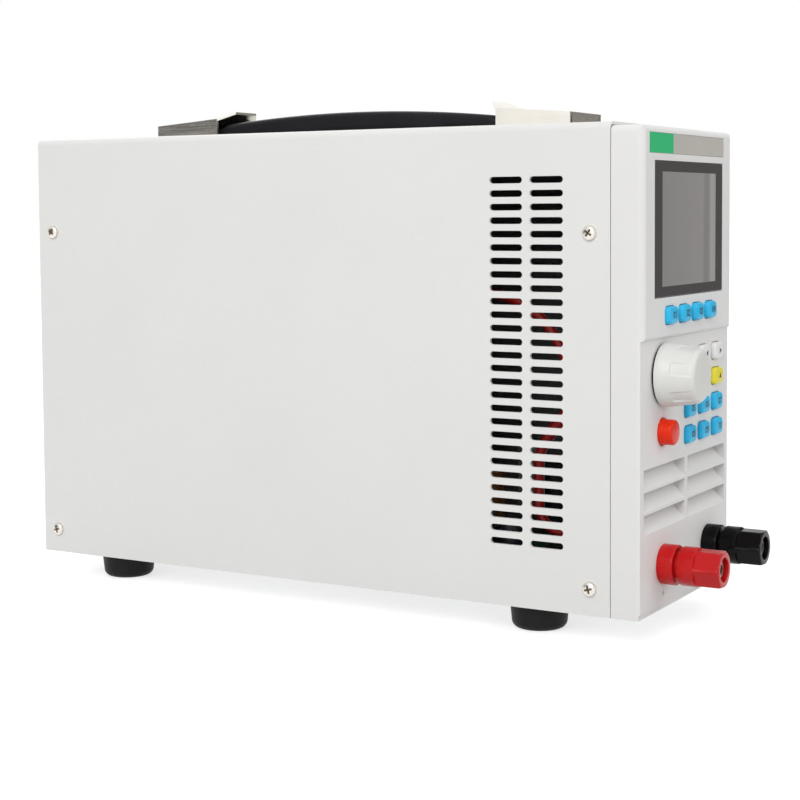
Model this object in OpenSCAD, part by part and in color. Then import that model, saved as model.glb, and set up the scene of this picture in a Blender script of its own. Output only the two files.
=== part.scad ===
// Bench dc electronic load: a tall steel case with a louvred plastic front,
// a strap handle, four rubber feet, a knob, keys and two binding posts.
// The modules draw in the seam frame: X right seen from the front, Y back from
// the joint between bezel and cover, Z up from the cover's lower edge.
// at_seam() then carries a piece to the part's own frame, whose origin lies on
// the ground under the middle of the whole part.

/* [Case] */
// Width across the cover's sides
case_w = 92; // [88:1:110]
// Height of the cover from its lower edge to its top
case_h = 180; // [178:1:200]
// Depth of the cover from the bezel seam to its rear edge
case_d = 270; // [262:1:320]
// Thickness of the steel sheet of cover, floor, frame and rear panel
sheet_t = 1.2; // [0.8:0.1:1.6]
// Outer radius of the cover's two long bends
bend_r = 2.6; // [2:0.1:4]
// Gap between the cover and the sheet parts inside it
sheet_fit = 0.2; // [0.1:0.05:0.4]
// Width of the dark joint between bezel and cover
seam_gap = 0.3; // [0.2:0.1:0.8]
// How far the rear panel lies inside the cover's rear edge
rear_inset = 2; // [1:0.5:4]
// Length of the folded flanges that take the side screws
flange_l = 14; // [13:0.5:18]
// Height of the floor's side flanges
floor_flange_h = 18; // [12:1:22]

/* [Side vents] */
// Number of slots in a column
vent_rows = 28; // [10:1:28]
// Distance from one slot to the next
vent_pitch = 5; // [4:0.25:5]
// Length of a slot
vent_l = 13.5; // [8:0.5:14]
// Height of a slot
vent_h = 2.5; // [1.5:0.1:3]
// Middle of the lowest slot above the cover's edge
vent_z = 24.5; // [22:0.5:26]
// Middle of the front column behind the seam
vent_y = 25.4; // [24:0.2:30]
// Distance between the two columns
vent_col_pitch = 16.6; // [15:0.2:20]

/* [Screws] */
// Thread diameter of the case screws
screw_d = 3; // [2.5:0.1:3.5]
// Length of a case screw under its head
screw_l = 6; // [5:0.5:7]
// Diameter of a case screw's head
screw_head_d = 5.4; // [5:0.1:6]
// Height of a case screw's head
screw_head_h = 1.9; // [1.4:0.1:2.2]
// Distance of the side screws from the cover's front and rear edges
screw_edge = 8; // [7:0.5:9]
// Height of the lower side screws
screw_low_z = 10; // [8:0.5:12]
// Height of the upper side screws
screw_high_z = 140; // [120:1:150]
// Radial gap of a screw in its threaded hole
thread_gap = 0.05; // [0.03:0.01:0.08]
// Radial gap of a screw in its clearance hole
screw_gap = 0.2; // [0.15:0.05:0.3]

/* [Feet] */
// Height of a foot
foot_h = 11; // [9:0.5:14]
// Diameter of a foot where it meets the floor plate
foot_top_d = 23; // [21:0.5:24]
// Diameter of a foot on the ground
foot_low_d = 21.5; // [18:0.5:22]
// Radius of a foot's lower edge
foot_edge = 3; // [1.5:0.25:4]
// Middle of a foot from the cover's side
foot_inset = 18; // [16:0.5:22]
// Middle of the front feet behind the seam
foot_front_y = 37; // [30:1:50]
// Middle of the rear feet from the cover's rear edge
foot_rear_y = 32; // [26:1:50]
// Rubber left between the screw head and the floor plate
foot_web = 3; // [2.5:0.25:4]

/* [Bezel] */
// Depth of the upper front plane ahead of the seam
upper_d = 12.8; // [12:0.2:15]
// How far the lower front plane lies behind the upper one
step_d = 1.3; // [0.8:0.1:1.6]
// Distance of that step under the display lens
step_drop = 15.2; // [14.8:0.1:17]
// Wall thickness of the moulding
wall = 2.2; // [2:0.1:2.6]
// Radius of the bezel's upright front corners
corner_r = 2.8; // [2:0.1:4]
// Radius of the bezel's upper front edge
brow_r = 2.3; // [1.5:0.1:2.6]
// How far the bezel's top lies under the cover's top
brow_drop = 1.4; // [1:0.1:1.6]
// Height of the set-back lip along the lower edge
lip_h = 2; // [1.5:0.1:3]
// Depth of that lip
lip_d = 0.5; // [0.3:0.1:0.8]
// Middle of the screw bosses from the bezel's side
boss_inset = 5.6; // [5.4:0.1:6]
// Middle of the lower screw bosses under the step
boss_drop = 39; // [36:0.5:41]
// Outer diameter of a screw boss
boss_d = 6; // [5.8:0.1:6.6]

/* [Louvres] */
// Rows of louvres
louvre_rows = 3; // [2:1:3]
// Upper edge of the top row under the step
louvre_drop = 46.7; // [46:0.1:48]
// Distance from one row to the next
louvre_pitch = 8.3; // [7.5:0.1:8.5]
// Height of a louvre's opening in the front plane
louvre_h = 7.2; // [6:0.1:7.2]
// Depth of a louvre's scoop
louvre_d = 5; // [4:0.1:5.4]
// Height of the air slot at the back of a scoop
louvre_slot = 1.7; // [1:0.1:2]
// Thickness of the moulded blades and cheeks
blade_t = 1.2; // [0.8:0.1:1.4]
// Width of the bar between the two columns
mullion_w = 2.9; // [2:0.1:4]
// Margin of the louvres at the bezel's sides
louvre_margin = 3.8; // [3.8:0.2:8]

/* [Display] */
// Margin of the display lens at the bezel's sides
lens_margin = 10.75; // [10:0.25:13]
// Height of the display lens
lens_h = 49.8; // [46:0.2:50]
// Thickness of the display lens
lens_t = 1.6; // [1.2:0.1:1.7]
// Upper edge of the lens under the cover's top
lens_drop = 14; // [13:0.5:15]
// Width of the printed border of the lens
lens_border_x = 7.4; // [6:0.2:8]
// Height of the printed border of the lens
lens_border_z = 4; // [3:0.2:5]
// Gap round the lens, the name strip and other glued pieces
trim_gap = 0.15; // [0.1:0.05:0.3]
// Thickness of the display panel behind the lens
panel_t = 4.6; // [3:0.2:5]
// Margin of the name strip at the bezel's left side
strip_left = 5.7; // [5:0.1:8]
// Margin of the name strip at the bezel's right side
strip_right = 9.7; // [5:0.1:12]
// Height of the name strip
strip_h = 7.2; // [6:0.1:7.4]
// Upper edge of the name strip under the cover's top
strip_drop = 4; // [4:0.1:5]
// Thickness of the name strip
strip_t = 0.4; // [0.3:0.1:0.6]

/* [Keys] */
// Width of a key
key_w = 9.3; // [7:0.1:10]
// Height of a key
key_h = 6.5; // [6:0.1:7.4]
// How far a key stands out of the panel
key_out = 2.2; // [1.6:0.1:3]
// Corner radius of a key
key_r = 1.6; // [1:0.1:2]
// Crown radius of a key across its height
key_crown = 8; // [7:0.5:14]
// Gap between a key and its hole
key_gap = 0.3; // [0.2:0.05:0.4]
// Margin of the flange that holds a key behind the panel
key_rim = 0.6; // [0.5:0.1:0.9]
// Thickness of that flange
key_rim_t = 1.2; // [0.8:0.1:1.4]
// Travel of a key
key_travel = 1; // [0.5:0.1:1.2]
// Middle of the mode keys above the step
mode_key_up = 8.4; // [8:0.1:9]
// Distance from one mode key to the next
mode_pitch = 13.6; // [12:0.1:15]
// Middle of the last key column from the bezel's right side
grid_inset = 14.5; // [13.5:0.1:15.5]
// Distance from one key column to the next
grid_col = 14.5; // [12.5:0.1:14.6]
// Middle of the lowest key row under the step
grid_drop = 38.5; // [37.5:0.1:39]
// Distance from one key row to the next
grid_row = 10; // [9.2:0.1:10.2]

/* [Load button] */
// Middle of the load button from the bezel's left side
load_inset = 22; // [20:0.2:24]
// Middle of the load button under the step
load_drop = 34.6; // [33:0.2:36]
// Diameter of the button's shoulder
load_shoulder_d = 10.2; // [9.8:0.1:11]
// Diameter of the button's cap
load_cap_d = 9.5; // [8:0.1:9.6]
// How far the button stands out of the panel
load_out = 5.4; // [4:0.1:6]

/* [Knob] */
// Middle of the knob from the bezel's left side
knob_inset = 22.3; // [22:0.1:25]
// Middle of the knob under the step
knob_drop = 13.4; // [13:0.1:15]
// Diameter of the knob at the panel
knob_base_d = 23.7; // [22:0.1:25]
// Diameter of the knob's front face
knob_face_d = 20.4; // [18:0.2:22]
// Length of the knob
knob_l = 14.8; // [12:0.1:18]
// Gap between knob and panel
knob_gap = 0.7; // [0.5:0.1:1]
// Number of grip pads sunk in the knob's flank
knob_pads = 6; // [4:1:8]
// Depth of a grip pad
knob_pad_d = 0.6; // [0.3:0.1:0.8]
// Length of a grip pad
knob_pad_l = 6.4; // [5:0.1:7]
// Width of a grip pad
knob_pad_w = 5; // [4:0.1:6]
// Diameter of the encoder's shaft
shaft_d = 6; // [5:0.1:6.4]
// Radial gap of turning shafts
run_gap = 0.05; // [0.03:0.01:0.08]

/* [Binding posts] */
// Middle of a post from the bezel's side
post_inset = 23; // [20:0.5:26]
// Middle of the posts under the step
post_drop = 84; // [83:0.5:85]
// Diameter of a post's base
post_base_d = 15; // [14:0.2:17]
// Length of a post's base
post_base_l = 6.2; // [5:0.1:8]
// Width of the groove between base and cap
post_groove = 1.5; // [1.2:0.1:2]
// Length of the round collar of a cap
post_collar_l = 6.4; // [5:0.1:8]
// Length of the six-sided grip of a cap
post_grip_l = 9.7; // [8:0.1:12]
// Width of the grip across its flats
post_flats = 12.7; // [12:0.1:13]
// Diameter of the threaded stem
stem_d = 6; // [5.6:0.1:6.4]
// Diameter of the plug socket in the stem
socket_d = 4; // [3.9:0.05:4.1]
// Depth of the plug socket
socket_l = 14; // [12:0.5:14]

/* [Handle] */
// Middle of the handle behind the seam
handle_y = 129.6; // [125:0.2:135]
// Distance between the mouths of the two end caps
mouth_span = 134.6; // [120:0.2:150]
// Length of an end cap
cap_l = 32; // [28:0.5:36]
// Width of an end cap
cap_w = 29; // [27:0.5:34]
// Height of an end cap at its outer end
cap_low_h = 5.9; // [5.6:0.1:6.6]
// Height of an end cap at its mouth
cap_high_h = 8.3; // [8:0.1:10]
// Thickness of the end caps' sheet
cap_t = 1; // [0.8:0.1:1.1]
// Gap between an end cap's folded end and its sides
flap_gap = 0.9; // [0.5:0.1:1.2]
// Reach of the turned-up lip beyond the mouth
lip_reach = 5; // [3:0.5:7]
// Rise of the turned-up lip
lip_rise = 3; // [2:0.25:4]
// Width of the lip's tip
lip_tip_w = 15; // [10:0.5:20]
// Width of the strap
strap_w = 24; // [20:0.5:25]
// Thickness of the strap's flexible ends
strap_t = 5.5; // [5:0.1:5.6]
// Height of the strap's upper side at the middle
strap_rise = 9.15; // [9:0.05:9.6]
// Radius of the strap's bow
strap_r = 615; // [600:5:640]
// Half length of the stiff grip in the strap
grip_half = 45; // [35:1:50]
// Gap between the cover and the ends of the thicker grip
grip_gap = 0.3; // [0.2:0.1:0.6]
// Thickness of the strap's slotted ends
tongue_t = 3.4; // [2.4:0.1:3.5]
// Gap between the strap and what it lies on
strap_gap = 0.1; // [0.1:0.05:0.2]
// Diameter of the handle screws
handle_screw_d = 4; // [3.5:0.1:4.5]

/* [Rear] */
// Margin of the square fan at the case's sides
fan_margin = 6; // [5:0.5:8]
// Depth of the fan
fan_d = 25; // [24:0.5:30]
// Height of the fan's middle
fan_z = 112; // [100:1:126]
// Middle of the fan's screws from its edges
fan_screw_edge = 4.25; // [4:0.25:5]
// Wall of the fan's frame round its duct
fan_wall = 2; // [2:0.25:4]
// Number of impeller blades
fan_blades = 7; // [5:1:9]
// Gap between the impeller and its duct
fan_gap = 0.8; // [0.5:0.1:1.2]
// Wire diameter of the fan guard
guard_wire_d = 1.8; // [1.4:0.1:2]
// Middle of the mains inlet from the case's left side
inlet_inset = 24; // [22:0.5:26]
// Height of the mains inlet and the power switch
inlet_z = 42; // [36:0.5:46]
// Middle of the power switch from the case's right side
rocker_inset = 26; // [20:0.5:30]
// Tilt of the power switch at either end of its throw
rocker_tilt = 10; // [8:0.5:12]
// Middle of the data port from the case's middle plane
port_x = 12; // [-6:1:20]
// Height of the data port
port_z = 18; // [16:0.5:20]

/* [Inside] */
// Height of the main board's top above the cover's lower edge
board_z = 15.6; // [13:0.2:16]
// Thickness of the boards
board_t = 1.6; // [1.2:0.1:2]
// Front edge of the main board behind the seam
board_y = 30; // [26:1:34]
// Gap between the boards and the parts beside them
board_gap = 1.2; // [0.8:0.1:1.6]
// Front end of the heatsink behind the seam
sink_y = 122; // [118:1:130]
// Height of the heatsink
sink_h = 150; // [120:1:160]
// Number of cooling fins
sink_fins = 12; // [6:1:14]
// Gap between the red lead's middle and the heatsink
sink_gap = 3; // [2.5:0.1:5]
// Number of power transistors
transistors = 6; // [3:1:6]
// Depth of the transformer's core along the case
core_l = 48; // [40:1:52]
// Height of the transformer's core
core_h = 40; // [36:1:48]
// Stack of the transformer's core
core_stack = 24; // [18:1:28]
// Middle of the transformer behind the seam
core_y = 78; // [72:1:84]
// Diameter of the power leads
lead_d = 4; // [3:0.1:4.4]
// Bend radius of the power leads
lead_bend = 10; // [8:0.5:12]

/* [Hidden] */
$fn = 48;
// Overshoot of cutting bodies past the faces they open
cut = 1;

// Case
half_w = case_w / 2;
inner_half = half_w - sheet_t;
tray_half = inner_half - sheet_fit;
inner_top = case_h - sheet_t;
rear_y = case_d - rear_inset;
rear_in_y = rear_y - sheet_t;
frame_y = seam_gap;
frame_back = frame_y + sheet_t;
sheet_top = inner_top - sheet_fit;
front_flange_end = frame_back + flange_l;
rear_flange_start = rear_in_y - flange_l;
window_margin = 6;
screw_ys = [screw_edge, case_d - screw_edge];
screw_zs = [screw_low_z, screw_high_z];
foot_ys = [foot_front_y, case_d - foot_rear_y];
foot_x = half_w - foot_inset;

// Bezel
lens_w = case_w - 2 * lens_margin;
lens_top = case_h - lens_drop;
lens_z = lens_top - lens_h / 2;
step_z = lens_top - lens_h - step_drop;
lower_d = upper_d - step_d;
upper_in = upper_d - wall;
lower_in = lower_d - wall;
bezel_back = seam_gap;
bezel_top = case_h - brow_drop;
cavity_half = half_w - wall;
cavity_step = step_z + wall;
strip_w = case_w - strip_left - strip_right;
strip_x = (strip_left - strip_right) / 2;
strip_z = case_h - strip_drop - strip_h / 2;
boss_x = half_w - boss_inset;
boss_low_z = step_z - boss_drop;
boss_zs = [boss_low_z, lens_z];
louvre_x = half_w - louvre_margin;
louvre_top_z = step_z - louvre_drop;
window_half = boss_x - boss_d;
air_window = [window_margin, boss_low_z - window_margin];
board_window = [boss_low_z + window_margin, lens_top - window_margin];
pcb_front = 2.6;
pcb_back = pcb_front - board_t;
pcb_low = boss_low_z - 4.5;
pcb_high = bezel_top - wall - board_gap;
spigot_d = boss_d - 1.8;
louvre_back = lower_d - louvre_d;

// Keys and knob
mode_z = step_z + mode_key_up;
grid_z = step_z - grid_drop;
load_x = load_inset - half_w;
load_z = step_z - load_drop;
knob_x = knob_inset - half_w;
knob_z = step_z - knob_drop;
key_crown_x = key_crown * 1.5;
key_hole_w = key_w + 2 * key_gap;
key_hole_h = key_h + 2 * key_gap;
plunger_d = 3.4;
switch_w = 6;
switch_h = 3.5;
plunger_in = 0.5;
mode_xs = [for (i = [0:3]) (i - 1.5) * mode_pitch];
grid_xs = [for (i = [-2:0]) half_w - grid_inset + i * grid_col];
grid_zs = [for (i = [0:3]) grid_z + i * grid_row];
lower_spots = [
    for (row = [1, 0], col = [0:2]) [grid_xs[col], grid_zs[row]],
    [grid_xs[2], grid_zs[2]],
    [grid_xs[1], grid_zs[3]],
    [grid_xs[2], grid_zs[3]]
];
bush_d = shaft_d + 1.4;
bush_out = knob_gap + 1;
shaft_end = knob_gap + knob_l - 3;
encoder_w = 12.4;
encoder_h = lower_in - pcb_front - sheet_fit;
encoder_floor = 2;
knob_phase = 162.5;
shoulder_out = 1;
switch_play = 0.35;

// Posts, counted outwards from the lower front plane
post_x = half_w - post_inset;
post_z = step_z - post_drop;
post_cap_z = post_base_l + post_groove;
post_grip_z = post_cap_z + post_collar_l;
post_end_z = post_grip_z + post_grip_l;
post_cap_r = post_flats / 2 / cos(30);
neck_r = 5;
washer_r = 5.4;
washer_t = 0.8;
washer_gap = 0.15;
stem_r = stem_d / 2;
stem_end_z = post_end_z - 1.5;
stem_back_z = -lower_d - 2;
nut_t = 4;
nut_r = 5.8;
lug_t = 1;
lug_up = 8;
nut_seat_z = -wall;

// Handle
strap_centre_z = case_h + strap_rise - strap_r;
grip_drop = strap_r - strap_r * cos(asin(grip_half / strap_r));
grip_t = strap_rise - grip_drop - grip_gap;
tongue_z = case_h + strap_gap;
mouth_half = mouth_span / 2;
cap_end_half = mouth_half + cap_l;
cap_bush_y = 18;
cap_bush_d = handle_screw_d + 3.6;
handle_screw_half = mouth_half + cap_bush_y;
tongue_slot_l = cap_bush_d + 10;
tongue_half = cap_end_half - 3;
cap_slope = (cap_high_h - cap_low_h) / cap_l;
flap_half = cap_w / 2 - cap_t - flap_gap;
cap_bush_h = cap_high_h - cap_slope * cap_bush_y - cap_t / 2;
round_head_h = 2.4;

// Rear
fan_w = case_w - 2 * fan_margin;
fan_pitch = fan_w - 2 * fan_screw_edge;
fan_bore_d = fan_w - 2 * fan_wall;
guard_reach = 1.75 * guard_wire_d;
inlet_x = inlet_inset - half_w;
rocker_x = half_w - rocker_inset;
fan_screw_d = 4;
fan_screw_l = 10;
eye_r = fan_screw_d / 2 + screw_gap + guard_wire_d / 2;
hub_r = 17;
hub_face_z = 2;
strut_t = 3;
pin_r = 2;
inlet_w = 31;
inlet_h = 24;
inlet_flange_t = 2.6;
inlet_body_w = 27;
inlet_body_h = 19.8;
inlet_body_l = 20;
inlet_hole_w = 24.2;
inlet_hole_h = 16.4;
inlet_hole_l = 16;
inlet_pins = [[-7, -2], [7, -2], [0, 2]];
rocker_w = 15;
rocker_h = 21;
rocker_rim = 1.5;
rocker_rim_t = 2;
rocker_l = 16;
rocker_gap = 0.35;
rocker_axis_z = -1.5;
rocker_pin_d = 3;
rocker_floor = 4;
port_w = 30.8;
port_h = 12.6;
port_screw_x = 12.5;
port_flange_t = 1;
port_body_l = 9;
port_nut_d = 5.4;
port_thread_d = 2.6;
port_pin_pitch = 2.77;
port_row_half = 1.42;
port_pin_d = 1.1;
shell_top_w = 16.9;
shell_low_w = 14.6;
shell_h = 8.4;
shell_l = 5;
shell_t = 0.5;

// Inside
sink_x = sink_gap - post_x;
sink_end = rear_in_y - fan_d - fan_margin;
sink_base_t = 6;
sink_foot_t = 3;
sink_right = tray_half - 6;
strip_board_x = sink_x - board_gap;
board_half = tray_half - sheet_t - board_gap;
board_end = sink_end;
standoff_d = 6;
standoff_pin_r = 1.6;
standoff_spots = [
    [-board_half + 5, board_y + 5], [board_half - 5, board_y + 5],
    [-board_half + 5, sink_y - board_gap - 5], [board_half - 5, sink_y - board_gap - 5],
    [-board_half + 5, board_end - 6]
];
sink_screw_ys = [sink_y + 16, sink_end - 16];
sink_screw_x = 12;
lead_r = lead_d / 2;
lead_z = post_z + lug_up;
lead_rise_y = 29.5;
lean_low_r = lead_bend * 2;
lean_high_r = lead_bend * 1.2;
swing_r = lead_bend * 3.6;
lean_reach = lead_bend * 1.3;
lean_low_z = lead_z + lead_bend * 2.5;
lean_high_z = lean_low_z + lead_bend * 2.7;
swing_z = lean_low_z + lead_bend * 3;
red_top_z = swing_z + swing_r;
sleeve_t = 0.4;
sleeve_end = 2;

// The part's own frame: the origin lies under the middle of its whole length
front_reach = lower_d + post_end_z;
rear_reach = rear_y + max(shell_l, guard_reach, guard_wire_d + round_head_h);
seam_y = (front_reach - rear_reach) / 2;

// Carries the seam frame to the part's own frame
module at_seam() {
    translate([0, seam_y, foot_h]) children();
}

// Draws children with their own z facing the front, z = 0 at depth y
module on_front(x, y, z) {
    translate([x, y, z]) rotate([90, 0, 0]) children();
}

// Draws children with their own z facing the rear
module on_rear(x, y, z) {
    translate([x, y, z]) rotate([90, 0, 180]) children();
}

// Extrudes a Y-Z outline along X, from x to x + length
module along_x(x, length) {
    translate([x, 0, 0]) rotate([90, 0, 90]) linear_extrude(length) children();
}

// Extrudes an X-Z outline along Y, from y to y + length
module along_y(y, length) {
    translate([0, y + length, 0]) rotate([90, 0, 0]) linear_extrude(length) children();
}

module rounded_2d(w, h, r) {
    square([w - 2 * r, h], center = true);
    square([w, h - 2 * r], center = true);
    for (sx = [-1, 1], sy = [-1, 1])
        translate([sx * (w / 2 - r), sy * (h / 2 - r)]) circle(r);
}

// A rectangle standing on y = 0 with its two upper corners rounded
module arch_2d(w, h, r) {
    translate([-w / 2, 0]) square([w, h - r]);
    translate([-w / 2 + r, 0]) square([w - 2 * r, h]);
    for (s = [-1, 1])
        translate([s * (w / 2 - r), h - r]) circle(r);
}

module slot_2d(l, h) {
    square([l - h, h], center = true);
    for (s = [-1, 1])
        translate([s * (l - h) / 2, 0]) circle(h / 2);
}

module box(low, high) {
    translate(low) cube(high - low);
}

// One case screw with its head's underside at z = 0 and its shank below
module case_screw() {
    rotate_extrude() union() {
        translate([0, -screw_l]) square([screw_d / 2, screw_l + screw_head_h / 2]);
        square([screw_head_d / 2, screw_head_h * 0.5]);
        intersection() {
            square([screw_head_d / 2, screw_head_h]);
            translate([0, screw_head_h - screw_head_d]) circle(screw_head_d);
        }
    }
}

module side_screw_holes(gap) {
    for (y = screw_ys, z = screw_zs)
        translate([-half_w - cut, y, z]) rotate([0, 90, 0])
            cylinder(r = screw_d / 2 + gap, h = case_w + 2 * cut);
}

module chassis_base() color("silver") at_seam() {
    flange_y = front_flange_end + 1;
    flange_end = rear_flange_start - 1;
    difference() {
        union() {
            box([-tray_half, frame_y, 0], [tray_half, rear_in_y, sheet_t]);
            for (s = [0, 1]) mirror([s, 0, 0])
                box([tray_half - sheet_t, flange_y, 0], [tray_half, flange_end, floor_flange_h]);
        }
        for (sx = [-1, 1], y = foot_ys)
            translate([sx * foot_x, y, -cut])
                cylinder(r = screw_d / 2 + thread_gap, h = sheet_t + 2 * cut);
        for (y = sink_screw_ys)
            translate([sink_screw_x, y, -cut])
                cylinder(r = screw_d / 2 + screw_gap, h = sheet_t + 2 * cut);
    }
}

module top_cover() color("gainsboro") at_seam() difference() {
    along_y(0, case_d) arch_2d(case_w, case_h, bend_r);
    translate([0, 0, -cut]) along_y(-cut, case_d + 2 * cut)
        arch_2d(2 * inner_half, inner_top + cut, bend_r - sheet_t);
    along_x(-half_w - cut, case_w + 2 * cut)
        for (col = [0, 1], row = [0:vent_rows - 1])
            translate([vent_y + col * vent_col_pitch, vent_z + row * vent_pitch])
                slot_2d(vent_l, vent_h);
    side_screw_holes(screw_gap);
    for (s = [-1, 1])
        translate([0, handle_y + s * handle_screw_half, inner_top - cut])
            cylinder(r = handle_screw_d / 2 + screw_gap, h = sheet_t + 2 * cut);
}

module rear_panel() color("gainsboro") at_seam() difference() {
    union() {
        box([-tray_half, rear_in_y, 0], [tray_half, rear_y, sheet_top]);
        for (s = [0, 1]) mirror([s, 0, 0])
            box([tray_half - sheet_t, rear_flange_start, sheet_t],
                [tray_half, rear_in_y, sheet_top - bend_r]);
    }
    side_screw_holes(thread_gap);
    on_rear(0, rear_in_y - cut, fan_z) {
        cylinder(d = fan_bore_d, h = sheet_t + 2 * cut);
        for (sx = [-1, 1], sz = [-1, 1])
            translate([sx * fan_pitch / 2, sz * fan_pitch / 2])
                cylinder(r = fan_screw_d / 2 + screw_gap, h = sheet_t + 2 * cut);
    }
    on_rear(inlet_x, rear_in_y - cut, inlet_z) linear_extrude(sheet_t + 2 * cut)
        square([inlet_body_w + 2 * sheet_fit, inlet_body_h + 2 * sheet_fit], center = true);
    on_rear(rocker_x, rear_in_y - cut, inlet_z) linear_extrude(sheet_t + 2 * cut)
        square([rocker_w + 2 * sheet_fit, rocker_h + 2 * sheet_fit], center = true);
    on_rear(port_x, rear_in_y - cut, port_z) linear_extrude(sheet_t + 2 * cut)
        rounded_2d(shell_top_w + 2, shell_h + 2, 1);
}

module front_frame() color("silver") at_seam() difference() {
    union() {
        box([-tray_half, frame_y, sheet_t], [tray_half, frame_back, sheet_top]);
        for (s = [0, 1]) mirror([s, 0, 0])
            box([tray_half - sheet_t, frame_back, sheet_t],
                [tray_half, front_flange_end, sheet_top - bend_r]);
    }
    side_screw_holes(thread_gap);
    for (s = [-1, 1], z = boss_zs)
        on_front(s * boss_x, frame_back + cut, z)
            cylinder(r = screw_d / 2 + screw_gap, h = sheet_t + 2 * cut);
    for (span = [air_window, board_window])
        box([-window_half, frame_y - cut, span[0]], [window_half, frame_back + cut, span[1]]);
}

// Middle section of the bezel, as an outline in Y and Z
module bezel_side_2d() {
    translate([-lower_d + lip_d, 0]) square([lower_d - lip_d - bezel_back, lip_h]);
    translate([-lower_d, lip_h]) square([lower_d - bezel_back, step_z]);
    translate([-upper_d, step_z + step_d])
        square([upper_d - bezel_back, bezel_top - brow_r - step_z - step_d]);
    translate([-upper_d + brow_r, step_z]) square([upper_d - brow_r - bezel_back, bezel_top - step_z]);
    translate([-upper_d + brow_r, bezel_top - brow_r]) circle(brow_r);
    translate([-lower_d, step_z + step_d]) circle(step_d);
}

// The upright corners of the bezel, as an outline in X and Y
module bezel_plan_2d() {
    translate([-half_w, -upper_d + corner_r]) square([case_w, upper_d - corner_r - bezel_back]);
    translate([-half_w + corner_r, -upper_d]) square([case_w - 2 * corner_r, upper_d - bezel_back]);
    for (s = [-1, 1])
        translate([s * (half_w - corner_r), -upper_d + corner_r]) circle(corner_r);
}

// One scoop with the air slot at its back, as an outline in Y and Z
module scoop_2d(top) {
    low = top - louvre_h;
    polygon([
        [-lower_d - cut, low], [-lower_d, low], [-louvre_back, top - louvre_slot],
        [-louvre_back + cut, top - louvre_slot], [-louvre_back + cut, top], [-lower_d - cut, top]
    ]);
}

// The hollow moulded behind one scoop, which leaves an even blade
module scoop_core_2d(top) {
    low = top - louvre_h + blade_t;
    polygon([
        [-louvre_back + cut, low - blade_t], [-louvre_back, low - blade_t],
        [-lower_d + wall + blade_t, low - blade_t], [-louvre_back, top - louvre_slot - 1.6 * blade_t],
        [-louvre_back + cut, top - louvre_slot - 1.6 * blade_t]
    ]);
}

module louvre_columns() {
    width = louvre_x - mullion_w / 2;
    for (s = [0, 1]) mirror([s, 0, 0])
        along_x(mullion_w / 2, width) children();
}

module front_bezel() color("whitesmoke") at_seam() difference() {
    louvre_low = louvre_top_z - (louvre_rows - 1) * louvre_pitch - louvre_h;
    union() {
        difference() {
            intersection() {
                along_x(-half_w, case_w) bezel_side_2d();
                linear_extrude(case_h) bezel_plan_2d();
                along_y(-upper_d, upper_d) arch_2d(case_w, bezel_top, bend_r);
            }
            box([-cavity_half, -lower_in, wall], [cavity_half, cut, bezel_top - wall]);
            box([-cavity_half, -upper_in, cavity_step], [cavity_half, cut, bezel_top - wall]);
        }
        box([-cavity_half, -lower_in - wall / 2, louvre_low - blade_t],
            [cavity_half, -louvre_back, louvre_top_z + blade_t]);
        for (s = [-1, 1], z = boss_zs) {
            on_front(s * boss_x, -pcb_front, z)
                cylinder(d = boss_d, h = upper_in - pcb_front + wall / 2 - (z < step_z ? step_d : 0));
            on_front(s * boss_x, frame_y, z) cylinder(d = spigot_d, h = frame_y + pcb_front + wall / 2);
        }
    }
    louvre_columns()
        for (row = [0:louvre_rows - 1]) scoop_2d(louvre_top_z - row * louvre_pitch);
    louvre_columns()
        for (row = [0:louvre_rows - 1]) scoop_core_2d(louvre_top_z - row * louvre_pitch);
    on_front(0, 0, lens_z) {
        translate([0, 0, upper_d - lens_t])
            linear_extrude(lens_t + cut)
                square([lens_w + 2 * trim_gap, lens_h + 2 * trim_gap], center = true);
        linear_extrude(upper_d)
            square([lens_w - lens_border_x, lens_h - lens_border_z], center = true);
    }
    on_front(strip_x, -upper_d + strip_t, strip_z) linear_extrude(strip_t + cut)
        square([strip_w + 2 * trim_gap, strip_h + 2 * trim_gap], center = true);
    for (x = mode_xs)
        on_front(x, 0, mode_z) linear_extrude(upper_d + cut)
            rounded_2d(key_hole_w, key_hole_h, key_r + key_gap);
    for (spot = lower_spots)
        on_front(spot[0], 0, spot[1]) linear_extrude(lower_d + cut)
            rounded_2d(key_hole_w, key_hole_h, key_r + key_gap);
    on_front(load_x, 0, load_z) cylinder(r = load_shoulder_d / 2 + key_gap, h = lower_d + cut);
    on_front(knob_x, 0, knob_z) cylinder(r = bush_d / 2 + key_gap, h = lower_d + cut);
    for (s = [-1, 1]) {
        on_front(s * post_x, 0, post_z) cylinder(r = neck_r + screw_gap, h = lower_d + cut);
        for (z = boss_zs)
            on_front(s * boss_x, frame_y + cut, z)
                cylinder(r = screw_d / 2 + thread_gap, h = screw_l + 1);
    }
}

module case_screws() color("lightgray") at_seam() {
    for (s = [0, 1]) mirror([s, 0, 0])
        for (y = screw_ys, z = screw_zs)
            translate([half_w, y, z]) rotate([0, 90, 0]) case_screw();
    for (s = [-1, 1]) {
        for (z = boss_zs)
            on_rear(s * boss_x, frame_back, z) case_screw();
        for (y = foot_ys)
            translate([s * foot_x, y, -foot_web]) rotate([180, 0, 0]) case_screw();
    }
    for (y = sink_screw_ys)
        translate([sink_screw_x, y, 0]) rotate([180, 0, 0]) case_screw();
}

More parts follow.
